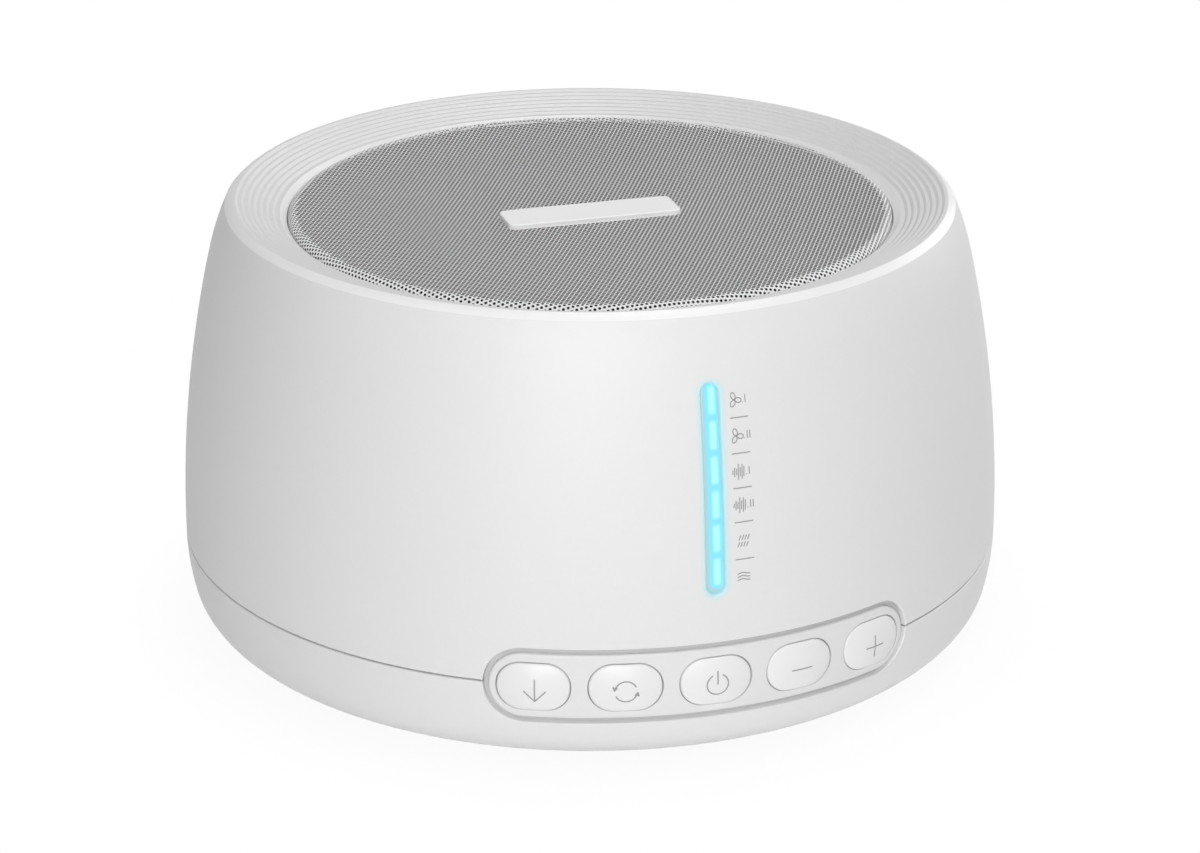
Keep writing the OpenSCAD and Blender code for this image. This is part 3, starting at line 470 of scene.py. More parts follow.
class Outline:
    """A box with round corners, drawn on a surface: middle, its corners' centres, their radius.
    side is 1 or -1 where only the half above or below the line at cut is wanted."""

    def __init__(self, middle, corner, radius, side=0, cut=0.0, step=1.0, arc_steps=12):
        self.middle, self.corner, self.radius = np.array(middle, float), corner, radius
        self.side, self.cut, self.step, self.arc_steps = side, cut, step, arc_steps

    def at(self, offset=0.0):
        """Points and outward normals of the outline, grown by an offset."""
        radius = self.radius + offset
        w, h = self.corner
        start = math.asin(self.cut / radius) if self.side else 0.0
        quarter = math.pi / 2
        corners = [(w, h, start, quarter), (-w, h, quarter, math.pi - start)]
        if not self.side:
            corners += [(-w, -h, math.pi, 3 * quarter), (w, -h, 3 * quarter, 4 * quarter)]
        points, normals = [], []
        for k, (x, y, first, last) in enumerate(corners):
            # Where two corners share a centre, the second leaves out the point they share
            skip = k > 0 and (x, y) == corners[k - 1][:2]
            for a in np.linspace(first, last, self.arc_steps + 1)[int(skip) :]:
                normals.append((math.cos(a), math.sin(a)))
                points.append((x + radius * math.cos(a), y + radius * math.sin(a)))
            if self.side and k == 1:
                break
            onward = corners[(k + 1) % len(corners)]
            run = np.array([onward[0] - x, onward[1] - y])
            pieces = max(1, round(float(np.linalg.norm(run)) / self.step))
            here = np.array(points[-1])
            for i in range(1, pieces):
                points.append(tuple(here + run * i / pieces))
                normals.append(normals[-1])
        if not self.side and h == 0:
            points.pop()
            normals.pop()
        flip = np.array([1, self.side or 1])
        return self.middle + np.array(points) * flip, np.array(normals) * flip


def round_box(middle, width, height, corner, gap=0.0, **finer):
    """The outline of a box with round corners, set back by a gap."""
    return Outline(middle, (width / 2 - corner, height / 2 - corner), corner - gap, **finer)


def inside(points, loop):
    """Which points lie inside a closed loop."""
    x, y = points[:, 0, None], points[:, 1, None]
    x0, y0 = loop[:, 0], loop[:, 1]
    x1, y1 = np.roll(x0, -1), np.roll(y0, -1)
    rise = np.where(y1 == y0, 1e-12, y1 - y0)
    crosses = ((y0 > y) != (y1 > y)) & (x < (x1 - x0) * (y - y0) / rise + x0)
    return crosses.sum(1) % 2 == 1


def filled(grid, holes=(), rim=None, clear=0.4):
    """Points and triangles over grid points, left open inside the holes and kept inside the rim.
    A hole or rim is an Outline with the offset at which its edge starts; clear is the least
    distance of a grid point from it."""
    borders = [(*hole, True) for hole in holes] + ([(*rim, False)] if rim else [])
    keep = np.ones(len(grid), bool)
    for outline, offset, is_hole in borders:
        margin = clear if is_hole else -clear
        keep &= inside(grid, outline.at(offset + margin)[0]) != is_hole
    points, edges, total = [grid[keep]], [], int(keep.sum())
    for outline, offset, _ in borders:
        loop = outline.at(offset)[0]
        last = len(loop) - 1 if outline.side else len(loop)
        edges += [(total + i, total + (i + 1) % len(loop)) for i in range(last)]
        points.append(loop)
        total += len(loop)
    found = delaunay_2d_cdt([Vector(p) for p in np.concatenate(points)], edges, [], 0, 1e-6)
    flat, faces = np.array([tuple(v) for v in found[0]]), np.array(found[2])
    middles = flat[faces].mean(1)
    for outline, offset, is_hole in borders:
        kept = inside(middles, outline.at(offset)[0]) != is_hole
        faces, middles = faces[kept], middles[kept]
    return flat, faces


def lay(skin, place, shape, depth=0.0, outward=True):
    """Lays flat points and their faces onto a surface, at a depth. place turns points and a depth
    into positions, the normals there, and the directions along and up the surface."""
    flat, faces = shape
    where, up, _, _ = place(flat, depth)
    skin.add(where, up if outward else -up, faces)


def level(z, up):
    """A place function for a level surface at a height, that faces up (1) or down (-1)."""

    def place(flat, depth):
        where = np.column_stack([flat, np.full(len(flat), z - up * depth)])
        return where, *(np.tile(v, (len(flat), 1)) for v in ((0, 0, up), (1.0, 0, 0), (0, 1.0, 0)))

    return place


def edge_ring(skin, place, outline, rounding, depth, grows, top=0.0, slot=0):
    """The rounded edge of an opening (grows = 1) or of a raised face (grows = -1), and the wall
    below it, down to a depth."""
    points, normals = [], []
    for a in np.linspace(0, math.pi / 2, 5) if rounding else [math.pi / 2]:
        flat, out = outline.at(grows * rounding * (1 - math.sin(a)))
        where, up, along, upward = place(flat, top + rounding * (1 - math.cos(a)))
        away = -grows * (out[:, :1] * along + out[:, 1:] * upward)
        points.append(where)
        normals.append(math.cos(a) * up + math.sin(a) * away)
    closed = not outline.side
    if rounding:
        skin.add_grid(points, normals, slot, closed)
    foot = place(outline.at()[0], depth)[0]
    skin.add_grid([points[-1], foot], [normals[-1]] * 2, slot, closed)


def ledge_ring(skin, place, outline, near, far, depth, slot=0):
    """A flat ring between two offsets of an outline, at one depth."""
    rows = [place(outline.at(offset)[0], depth) for offset in (near, far)]
    skin.add_rows(rows, slot, not outline.side)


# ---------- the housing ----------


class Outside:
    """The arcs of the housing's profile, and the way onto its surface."""

    def __init__(self, s):
        self.s = s
        polar = lambda a: np.array([math.cos(a), math.sin(a)])
        self.wall_c = np.array([s.body_r - s.wall_arc_r, s.seam_z])
        self.shoulder_z = s.body_h - s.shoulder_drop
        self.shoulder_a = math.asin((self.shoulder_z - s.seam_z) / s.wall_arc_r)
        self.shoulder_c = self.wall_c + (s.wall_arc_r - s.shoulder_arc_r) * polar(self.shoulder_a)
        self.rim_a = math.asin((s.body_h - s.rim_h - self.shoulder_c[1]) / s.shoulder_arc_r)
        self.rim = self.shoulder_c + s.shoulder_arc_r * polar(self.rim_a)
        self.lip_z = s.body_h - s.step_count * s.step_drop
        self.base_c = np.array([s.body_r - s.base_arc_r, s.seam_z])
        reach = s.base_arc_r - s.bottom_round
        self.bottom_a = math.asin((s.foot_h + s.bottom_round - s.seam_z) / reach)
        self.bottom_c = self.base_c + reach * polar(self.bottom_a)

    def place(self, turned=0.0):
        """A place function for points given by arc length from a direction, and height."""
        s = self.s

        def on_wall(flat, depth):
            azimuth = turned + flat[:, 0] / s.body_r
            z = flat[:, 1]
            radius = np.where(z >= s.seam_z, s.wall_arc_r, s.base_arc_r)
            tilt = np.arcsin((z - s.seam_z) / radius)
            out = np.column_stack([bearings(azimuth), np.zeros(len(z))])
            along = np.stack([np.cos(azimuth), np.sin(azimuth), np.zeros(len(z))], 1)
            sky = np.array([0, 0, 1.0])
            up = np.cos(tilt)[:, None] * out + np.sin(tilt)[:, None] * sky
            upward = np.cos(tilt)[:, None] * sky - np.sin(tilt)[:, None] * out
            reach = s.body_r - radius + (radius - depth) * np.cos(tilt)
            where = out * reach[:, None]
            where[:, 2] = s.seam_z + (radius - depth) * np.sin(tilt)
            return where, up, along, upward

        return on_wall


def lay_wall(skin, place, columns, levels, depth=0.0, holes=(), outward=True):
    """Part of the wall over arc lengths and heights, with holes in it if there are any."""
    flat = np.array([(u, z) for z in levels for u in columns])
    shape = filled(flat, holes) if holes else (flat, grid_faces(len(levels), len(columns)))
    lay(skin, place, shape, depth, outward)


# The housing's sectors: the front one and the back one have openings in them
FRONT, REST_OF_TURN = degrees(-36, 36), degrees(36, 324)
SIDES = degrees(36, 144), degrees(216, 324)
SCREW_ANGLES, FOOT_ANGLES = (45, 135, 225, 315), (0, 90, 180, 270)

# Outer radius and bore of the screw bosses in the upper and in the base shell, in mm
UPPER_BOSS, BASE_BOSS = (3.5, 1.55), (5, 1.7)
BOSS_RUN = 0.5  # how far the upper bosses run into the roof, in mm
CROWN = (0.45, 0.46)  # where the chamfer is crowned, as shares of its width and height
TURN_APART = 0.004  # least angle between two directions along the seam


def at_angles(ring_r, angles):
    return ring_r * bearings(np.radians(angles))


def pocket_outline(s, p, margin, side=0, cut=0.0):
    """The pill of the key panel's pocket, cut back by a margin; its ends keep their middles."""
    half_h = p.key_h / 2 + p.margin_z
    half_length = MIDDLE_KEY * p.key_pitch * s.body_r + p.key_w / 2 + p.margin_x
    middle_z, corner = s.seam_z - p.low, (half_length - half_h, 0)
    return Outline((0, middle_z), corner, half_h - margin, side, cut + side * p.low)


def pocket_edges(skin, place, s, p, side):
    """Half of the key panel's pocket: its edge, the ledge for the panel and the opening in it."""
    outline = pocket_outline(s, p, 0, side, s.seam_gap / 2)
    edge_ring(skin, place, outline, s.edge, p.panel_t, 1)
    ledge_ring(skin, place, outline, 0, -p.ledge_w, p.panel_t)
    opening = pocket_outline(s, p, p.ledge_w, side, s.seam_gap / 2)
    edge_ring(skin, place, opening, 0, s.wall, 1, p.panel_t)


def past_pocket(s, p, margin=0.0):
    """Directions all round the back, from one end of the key panel's pocket to the other."""
    ends = pocket_outline(s, p, margin)
    first = (ends.corner[0] + ends.radius) / s.body_r
    last = 2 * math.pi - first
    between = (FULL_TURN > first + TURN_APART) & (FULL_TURN < last - TURN_APART)
    return np.concatenate([[first], FULL_TURN[between], [last]])


def bar_outline(s, b, gap=0.0):
    corner = (0, (b.bar_l - b.bar_w) / 2)
    return Outline((0, s.body_h - b.bar_drop), corner, b.bar_w / 2 + gap, step=0.8)


def crest_line(s, g, outside):
    """The rim's slightly crowned chamfer, the steps, the bevel and the collar's inner side."""
    seat_r = g.outer_r + g.gap
    ring_r, lip_z = seat_r + s.bevel_w, outside.lip_z
    rim_r = outside.rim[0]
    crown = (rim_r - s.rim_w * CROWN[0], s.body_h - s.rim_h * CROWN[1])
    line = [tuple(outside.rim), crown, (rim_r - s.rim_w, s.body_h)]
    for i in range(s.step_count, 0, -1):
        r, z = ring_r + i * s.step_pitch, lip_z + i * s.step_drop
        line += [(r + s.riser_w / 2, z), (r - s.riser_w / 2, z - s.step_drop)]
    line += [(ring_r, lip_z), (seat_r, lip_z - s.bevel_h), (seat_r, lip_z + g.rise - g.pan_h)]
    return line


def build_upper_shell(material, rim):
    s, g, p, b = sizes("housing"), sizes("grille"), sizes("panel"), sizes("light_bar")
    outside, skin = Outside(s), Skin()
    place = outside.place()
    front, rest = FRONT * s.body_r, REST_OF_TURN * s.body_r
    low = s.seam_z + s.seam_gap / 2
    levels = np.linspace(low + s.seam_edge, outside.shoulder_z, num=41)
    bar = bar_outline(s, b, b.lens_gap)
    pocket = pocket_outline(s, p, 0, 1, s.seam_gap / 2 + s.seam_edge)
    lay_wall(skin, place, front, levels, 0, [(bar, s.slot_edge), (pocket, s.edge)])
    lay_wall(skin, place, rest, levels)
    lathe(skin, [arc(outside.shoulder_c, s.shoulder_arc_r, outside.shoulder_a, outside.rim_a, 10)])

    # The chamfer and the bevel are polished and take a whiter colour, a painted highlight; the steps
    # between them are not
    crest = crest_line(s, g, outside)
    runs = filleted(crest, s.step_edge)
    polished = {0, 1, 2, len(runs) - 3}
    for i, run in enumerate(runs):
        lathe(skin, [run], slot=int(i in polished))

    # The shelf under the grille, the collar's outer side, and the roof's and shoulder's undersides
    seat_r, shelf_top = crest[-1]
    roof_z, shelf_low = outside.lip_z - s.wall, shelf_top - s.shelf_t
    inner_r = s.shoulder_arc_r - s.wall
    inner_a = math.asin((roof_z - outside.shoulder_c[1]) / inner_r)
    shoulder_in = arc(outside.shoulder_c, inner_r, inner_a, outside.shoulder_a, 4)
    under = [(seat_r, shelf_top), (s.cutout_r, shelf_top), (s.cutout_r, shelf_low)]
    under += [(seat_r + s.collar_t, shelf_low), (seat_r + s.collar_t, roof_z)]
    lathe(skin, straight([*under, tuple(shoulder_in[0, :2])]) + [facing_in(shoulder_in)])

    # Inside of the wall, the rebate for the base's tongue, and the seam's lip
    tongue_top = s.seam_z + s.tongue_h + 2 * s.tongue_play
    inner_levels = np.linspace(tongue_top, outside.shoulder_z, num=20)
    window = pocket_outline(s, p, p.ledge_w, 1, tongue_top - s.seam_z)
    lay_wall(skin, place, front, inner_levels, s.wall, [(bar, 0), (window, 0)], outward=False)
    lay_wall(skin, place, rest, inner_levels, s.wall, outward=False)
    rebate_r = s.body_r - s.wall + s.tongue_t + s.tongue_play
    rebate = [(s.body_r - s.wall, tongue_top), (rebate_r, tongue_top), (rebate_r, low)]
    lathe(skin, straight(rebate), past_pocket(s, p, p.ledge_w))
    seam = [(rebate_r, low), (s.body_r, low), (s.body_r, low + 2 * s.seam_edge)]
    lathe(skin, filleted(seam, s.seam_edge, 3)[:2], past_pocket(s, p, -s.edge / 2))

    edge_ring(skin, place, bar, s.slot_edge, s.wall, 1)
    pocket_edges(skin, place, s, p, 1)
    for spot in at_angles(s.screw_ring_r, SCREW_ANGLES):
        tube(skin, spot, low, roof_z + BOSS_RUN, *UPPER_BOSS)
    return skin.build("upper_housing", [material, rim])


def bottom_face(skin, s, outer_r):
    """The flat bottom with the feet's pockets and the screws' recesses."""
    place = level(s.foot_h, -1.0)
    holes = []
    for ring_r, angles, radius, depth, bore in (
        (s.foot_ring_r, FOOT_ANGLES, s.foot_r + s.foot_play, s.foot_pocket, 0),
        (s.screw_ring_r, SCREW_ANGLES, s.recess_r, s.recess_top - s.foot_h, s.screw_bore_r),
    ):
        for spot in at_angles(ring_r, angles):
            outline = Outline(spot, (0, 0), radius)
            holes.append((outline, s.edge))
            edge_ring(skin, place, outline, s.edge, depth, 1)
            ledge_ring(skin, place, outline, 0, -(radius - bore) * NEARLY_ALL, depth)
    rings, spokes = np.arange(4, outer_r - 1, 3.0), degrees(0, 352, 8)
    grid = [(0, 0), *((r * math.cos(a), r * math.sin(a)) for r in rings for a in spokes)]
    border = outer_r * bearings(FULL_TURN[:-1])
    lay(skin, place, filled(np.vstack([grid, border]), holes))


def build_base_shell(material):
    s, p = sizes("housing"), sizes("panel")
    outside, skin = Outside(s), Skin()
    front, back = outside.place(), outside.place(math.pi)
    sector = FRONT * s.body_r
    half_gap = s.seam_gap / 2
    high = s.seam_z - half_gap
    low = s.seam_z + s.base_arc_r * math.sin(outside.bottom_a)
    levels = np.linspace(low, high - s.seam_edge, num=8)
    pocket = pocket_outline(s, p, 0, -1, half_gap + s.seam_edge)
    window = pocket_outline(s, p, p.ledge_w, -1, half_gap)
    inlet = Outline((0, s.inlet_z), (0, 0), s.inlet_hole_r, arc_steps=10)

    # Wall, bottom curve and floor, outside and inside
    for depth, hole, edge, outward in ((0, pocket, s.edge, True), (s.wall, window, 0, False)):
        lay_wall(skin, front, sector, levels, depth, [(hole, edge)], outward)
        lay_wall(skin, back, sector, levels, depth, [(inlet, edge)], outward)
        for side in SIDES:
            lay_wall(skin, front, side * s.body_r, levels, depth, (), outward)
    centre, start, end = outside.bottom_c, -math.pi / 2, outside.bottom_a
    lathe(skin, [arc(centre, s.bottom_round, start, end, 16)])
    lathe(skin, [facing_in(arc(centre, s.bottom_round - s.wall, start, end, 8))])
    bottom_face(skin, s, centre[0])
    floor_z = s.foot_h + s.wall
    lathe(skin, straight([(centre[0], floor_z), (AXIS_R, floor_z)]))

    # The tongue behind the seam, and the seam's lip
    inner_r = s.body_r - s.wall
    tongue_r, tongue_top = inner_r + s.tongue_t, s.seam_z + s.tongue_h
    line = [(tongue_r, high), (tongue_r, tongue_top), (inner_r, tongue_top), (inner_r, high)]
    lathe(skin, straight(line), past_pocket(s, p, p.ledge_w))
    seam = [(s.body_r, high - 2 * s.seam_edge), (s.body_r, high), (tongue_r, high)]
    lathe(skin, filleted(seam, s.seam_edge, 3)[1:], past_pocket(s, p, -s.edge / 2))

    pocket_edges(skin, front, s, p, -1)
    edge_ring(skin, back, inlet, s.edge, s.wall, 1)
    for spot in at_angles(s.screw_ring_r, SCREW_ANGLES):
        tube(skin, spot, floor_z, high, *BASE_BOSS)
    return skin.build("base_housing", [material])


def build_feet(material):
    """Rubber feet with a rim that stands on the table around a hollow middle."""
    s, skin = sizes("housing"), Skin()
    top, rim_r = s.foot_h + s.foot_pocket, s.foot_r - s.foot_rim
    line = [(AXIS_R, s.foot_hollow), (rim_r - s.foot_slope, s.foot_hollow), (rim_r, 0)]
    runs = filleted([*line, (s.foot_r, 0), (s.foot_r, top)], s.edge, 4)
    runs += straight([(s.foot_r, top), (AXIS_R, top)])
    for spot in at_angles(s.foot_ring_r, FOOT_ANGLES):
        lathe(skin, runs, degrees(0, 360, 5), spot)
    return skin.build("soft_feet", [material])


# ---------- key panel and keys ----------


def build_key_panel(material, groove):
    s, p = sizes("housing"), sizes("panel")
    skin, place = Skin(), Outside(s).place()
    face, foot = pocket_outline(s, p, p.groove_w), pocket_outline(s, p, p.foot_gap)
    middle_z = s.seam_z - p.low
    openings = []
    for i in range(len(KEY_NAMES)):
        along = (i - MIDDLE_KEY) * p.key_pitch * s.body_r
        openings.append(round_box((along, middle_z), p.key_w, p.key_h, p.key_corner))
    grid = np.array([(u, z) for z in middle_z + spread(-5, 5) for u in spread(-32, 32)])
    top = filled(grid, [(o, p.opening_edge) for o in openings], (face, -p.edge), 0.3)
    lay(skin, place, top)
    bottom = filled(grid, [(o, 0) for o in openings], (foot, 0), 0.3)
    lay(skin, place, bottom, p.panel_t, outward=False)
    edge_ring(skin, place, face, p.edge, p.groove_depth, -1)
    # The groove's floor and the key openings' edges take the grey second material, painted shade for
    # these recesses
    ledge_ring(skin, place, face, 0, p.groove_w - p.foot_gap, p.groove_depth, slot=1)
    edge_ring(skin, place, foot, 0, p.panel_t, -1, p.groove_depth)
    for outline in openings:
        edge_ring(skin, place, outline, p.opening_edge, p.panel_t, 1, slot=1)
    return skin.build("key_panel_face", [material, groove])


def key_face(s, p, index):
    """A function from points on a key to places on its dome and the normals there, and the key's
    own directions: across, outward and up."""
    turn = (index - MIDDLE_KEY) * p.key_pitch
    across = np.array([math.cos(turn), math.sin(turn), 0])
    out = np.array([math.sin(turn), -math.cos(turn), 0])
    sky = np.array([0, 0, 1.0])
    domes = np.array([p.key_dome_w, p.key_dome_h])
    middle = (s.seam_z - p.low) * sky

    def place(flat, reach=None):
        if reach is None:
            reach = s.body_r + p.key_rise - (flat**2 / (2 * domes)).sum(1)
        lean = flat / domes
        normals = unit(lean[:, :1] * across + lean[:, 1:] * sky + out)
        reach = np.broadcast_to(reach, len(flat))[:, None]
        return middle + flat[:, :1] * across + flat[:, 1:] * sky + reach * out, normals

    return place, across, out, sky


FLANGE_SHARE = 1.098  # width of a key's flange, as a share of the key's own


def build_key_cap(index, material):
    """A key: dome with a soft edge, sides, the flange behind the panel and its stem."""
    s, p = sizes("housing"), sizes("panel")
    place, across, out, sky = key_face(s, p, index)
    flange_drop = s.body_r - math.sqrt(s.body_r**2 - (p.key_w / 2 + p.flange_w) ** 2)
    flange_r = s.body_r - p.panel_t - p.flange_gap - flange_drop
    finer = {"step": 0.5, "arc_steps": 14}
    outline = round_box((0, 0), p.key_w, p.key_h, p.key_corner, p.key_gap, **finer)
    top = outline.at(-p.key_edge)[0]
    dome = [place(top * share) for share in np.linspace(1e-5, 1, 9)]
    rings, normals = [list(part) for part in zip(*dome)]
    brim, up = dome[-1]
    for a in np.linspace(0, math.pi / 2, 9)[1:]:
        flat, away = outline.at(-p.key_edge * (1 - math.sin(a)))
        side = away[:, :1] * across + away[:, 1:] * sky
        drop = p.key_edge * (1 - math.cos(a))
        rings.append(brim + (flat - top) @ np.array([across, sky]) - drop * out)
        normals.append(math.cos(a) * up + math.sin(a) * side)
    skin = Skin()
    skin.add_grid(rings, normals, 0, True)

    # The hidden rest, from ring to ring: points, how far behind the flange's face, and normals
    flat, last = outline.at()[0], rings[-1]
    wide, circle = flat * [FLANGE_SHARE, 1], unit(flat)
    for points, below, normal in (
        (flat, 0, side),
        (wide, 0, out + 0 * side),
        (wide, p.flange_t, side),
        (p.stem_r * circle, p.flange_t, -out + 0 * side),
        (p.stem_r * circle, p.stem_end, side),
        (1e-5 * circle, p.stem_end, -out + 0 * side),
    ):
        onward = place(points, flange_r - below)[0]
        skin.add_grid([last, onward], [normal, normal], 0, True)
        last = onward
    return skin.build("key_cap_" + KEY_NAMES[index], [material])


# ---------- printed marks ----------


INK = 0.015  # how far a printed line stands off its surface, in mm
OVER = 0.02  # the same, where it crosses another line
INK_RUN = 0.35  # longest straight piece of a printed line, in mm


def stroke(skin, place, points, width, lift=INK, closed=False):
    """A printed line of even width along points, with round ends."""
    points = np.asarray(points, float)
    if closed:
        points = np.vstack([points, points[:1]])
    fine = [points[0]]
    for a, b in zip(points, points[1:]):
        pieces = max(1, math.ceil(np.linalg.norm(b - a) / INK_RUN))
        fine += [a + (b - a) * i / pieces for i in range(1, pieces + 1)]
    fine = np.array(fine)
    steps = np.gradient(fine, axis=0)
    if closed:
        steps[0] = steps[-1] = fine[1] - fine[-2]
    steps = unit(steps)
    half = np.full(len(fine), width / 2)
    if not closed:
        turns = np.radians([90, 60, 30])
        before = fine[0] - steps[0] * np.sin(turns)[:, None] * width / 2
        after = fine[-1] + steps[-1] * np.sin(turns[::-1])[:, None] * width / 2
        fine = np.vstack([before, fine, after])
        steps = np.vstack([np.tile(steps[0], (3, 1)), steps, np.tile(steps[-1], (3, 1))])
        cap = np.maximum(np.cos(turns), 1e-3) * width / 2
        half = np.concatenate([cap, half, cap[::-1]])
    side = np.stack([-steps[:, 1], steps[:, 0]], 1) * half[:, None]
    skin.add_rows([place(fine + side, -lift), place(fine - side, -lift)])


def arc_points(radius, start, end, steps=24):
    """Points of an arc or of part of an ellipse; angles in degrees."""
    a = np.radians(np.linspace(start, end, steps + 1))
    return np.stack([np.cos(a), np.sin(a)], 1) * np.asarray(radius, float)


# How far a key's mark lies beside and above its key's middle, in mm
ARROW_SHIFT, MARK_SHIFT = np.array([0.3, -0.3]), np.array([0.0, -0.3])


def build_key_mark(index, material):
    """The line drawing on a key: arrow down, two turning arrows, power, minus or plus."""
    p, name = sizes("panel"), KEY_NAMES[index]
    face = key_face(sizes("housing"), p, index)[0]
    shift = ARROW_SHIFT if name == "down" else MARK_SHIFT

    def place(flat, depth):
        where, up = face(flat + shift)
        return where - up * depth, up

    skin, line = Skin(), p.mark_line
    if name == "down":
        stroke(skin, place, [(0, 1.65), (0, -1.6)], line)
        stroke(skin, place, [(-1.5, -0.1), (0, -1.65), (1.5, -0.1)], line, OVER)
    elif name == "cycle":
        for flip in (1, -1):
            stroke(skin, place, flip * arc_points(1.55, 28, 160), line)
            tip = np.array([-1.62, 0.2])
            for wing in ((-0.16, 0.5), (0.34, 0.4), (0.09, 0.42)):
                stroke(skin, place, flip * np.array([tip, tip + wing]), line * 1.1, OVER)
    elif name == "power":
        stroke(skin, place, arc_points(1.55, 120, 420, 40), line)
        stroke(skin, place, [(0, 1.95), (0, 0.1)], line)
    else:
        stroke(skin, place, [(-1.56, 0), (1.56, 0)], line)
        if name == "plus":
            stroke(skin, place, [(0, -1.58), (0, 1.58)], line, OVER)
    return skin.build("key_mark_" + name, [material])


def fan_mark(draw):
    """Three petals around a middle."""
    for turn in (112, 352, 236):
        a = math.radians(turn)
        middle = 0.56 * np.array([math.cos(a), math.sin(a)])
        spin = np.array([[math.cos(a), math.sin(a)], [-math.sin(a), math.cos(a)]])
        petal = arc_points((0.5, 0.32), 0, 360, 16)[:-1]
        draw(petal @ spin + middle - (0.35, 0), closed=True)


def burst_mark(draw):
    """Upright lines of uneven height, like a sound's wave form."""
    for i, height in enumerate((0.5, 1.2, 0.8, 2.1, 1.1, 1.9, 1.3)):
        x = -1.2 + 0.28 * i
        draw([(x - 0.03, -height / 2), (x + 0.03, height / 2)])


def rain_mark(draw):
    """Two rows of slanted dashes."""
    for row in (0, 1):
        for i in range(4):
            x, y = -0.48 + 0.43 * i - 0.2 * row, 0.48 - 0.96 * row
            draw([(x - 0.11, y - 0.3), (x + 0.11, y + 0.3)])


def wave_mark(draw):
    """Three wavy lines."""
    for height in (0.46, 0, -0.46):
        x = np.linspace(-0.88, 0.88, 13)
        draw(np.stack([x, height + 0.1 * np.sin(x / 0.88 * math.pi + 2.2)], 1))


def level_mark(draw, bars):
    """A dot and one or two short bars, for a weak or a strong setting."""
    draw([(0.86, -0.42), (0.861, -0.42)])
    for i in range(bars):
        draw([(1.3 + 0.4 * i, -0.42), (1.3 + 0.4 * i, 0.55)])


# Each mark, its number of level bars and its height from the bar's middle, in mm
WALL_MARKS = (
    (fan_mark, 1, 12.2),
    (fan_mark, 2, 7.3),
    (burst_mark, 1, 2.35),
    (burst_mark, 2, -2.3),
    (rain_mark, 0, -7.4),
    (wave_mark, 0, -12.5),
)
RULE_HEIGHTS = (9.8, 4.9, 0.1, -4.7, -10.0)


def build_wall_marks(material):
    """The marks beside the light bar: one for each segment, with short rules between them."""
    s, b = sizes("housing"), sizes("light_bar")
    skin, place = Skin(), Outside(s).place()

    def drawer(height):
        centre = np.array([b.mark_x, s.body_h - b.bar_drop + height])

        def draw(points, closed=False):
            stroke(skin, place, np.asarray(points, float) + centre, b.mark_line, closed=closed)

        return draw

    for mark, bars, height in WALL_MARKS:
        draw = drawer(height)
        mark(draw)
        if bars:
            level_mark(draw, bars)
    for height in RULE_HEIGHTS:
        drawer(height)([(-1.15, 0), (1.55, 0)])
    return skin.build("wall_marks", [material])


# ---------- light bar, grille, cloth and plate ----------


def build_lens(material):
    s, b = sizes("housing"), sizes("light_bar")
    skin, place = Skin(), Outside(s).place()
    outline = bar_outline(s, b)
    heights = outline.middle[1] + spread(-14, 14, 0.5)
    grid = np.array([(x, z) for x in spread(-1, 1, 0.25) for z in heights])
    lay(skin, place, filled(grid, (), (outline, -b.lens_edge), 0.12), b.recess)
    lay(skin, place, filled(grid, (), (outline, 0), 0.12), s.wall, outward=False)
    edge_ring(skin, place, outline, b.lens_edge, s.wall, -1, b.recess)
    return skin.build("light_bar_lens", [material])


class Pan:
    """The grille's pan, addressed by points of its flat blank: dished sheet, bend and skirt."""

    def __init__(self, s, g):
        self.g = g
        self.flat_r = g.outer_r - g.bend
        self.edge_z = Outside(s).lip_z + g.rise
        self.bend_end = self.flat_r + g.bend * math.pi / 2
        self.end = self.bend_end + (g.pan_h - g.bend)

    def dish_z(self, r):
        return self.edge_z - self.g.dish * (1 - (r / self.flat_r) ** 2)

    def place(self, flat, depth=0.0):
        """Positions and normals of points of the blank."""
        g = self.g
        way = np.linalg.norm(flat, axis=1)
        aim = flat / np.maximum(way, 1e-9)[:, None]
        on_dish, over = np.minimum(way, self.flat_r), np.clip(way - self.flat_r, 0, None)
        turn = np.minimum(over / g.bend, math.pi / 2)
        slope = np.arctan(2 * g.dish * on_dish / self.flat_r**2)
        tilt = np.where(over > 0, turn, -slope)
        r = on_dish + (g.bend - depth) * np.sin(turn) - depth * np.sin(tilt) * (over <= 0)
        skirt = np.clip(over - g.bend * math.pi / 2, 0, None)
        bent_z = self.edge_z - g.bend + (g.bend - depth) * np.cos(turn) - skirt
        z = np.where(over > 0, bent_z, self.dish_z(on_dish) - depth * np.cos(tilt))
        normals = np.column_stack([aim * np.sin(tilt)[:, None], np.cos(tilt)])
        return np.column_stack([aim * r[:, None], z]), normals

    def add_rings(self, skin, ways, depth, turns):
        """A closed grid of rings at ways from the blank's middle."""
        rings = [self.place(bearings(turns) * max(way, AXIS_R), depth) for way in ways]
        skin.add_rows(rings, closed=True)


# Where the plain hem's first rings lie, from the middle of the last holes outward, in mm
HEM_WAYS = (-0.5, 0.05, 0.6)
HEM_UNDER = 0.02  # how far the hem lies under the punched sheet, in mm
BEND_NEAR = 0.1  # how far inside the bend the smaller holes start, in mm


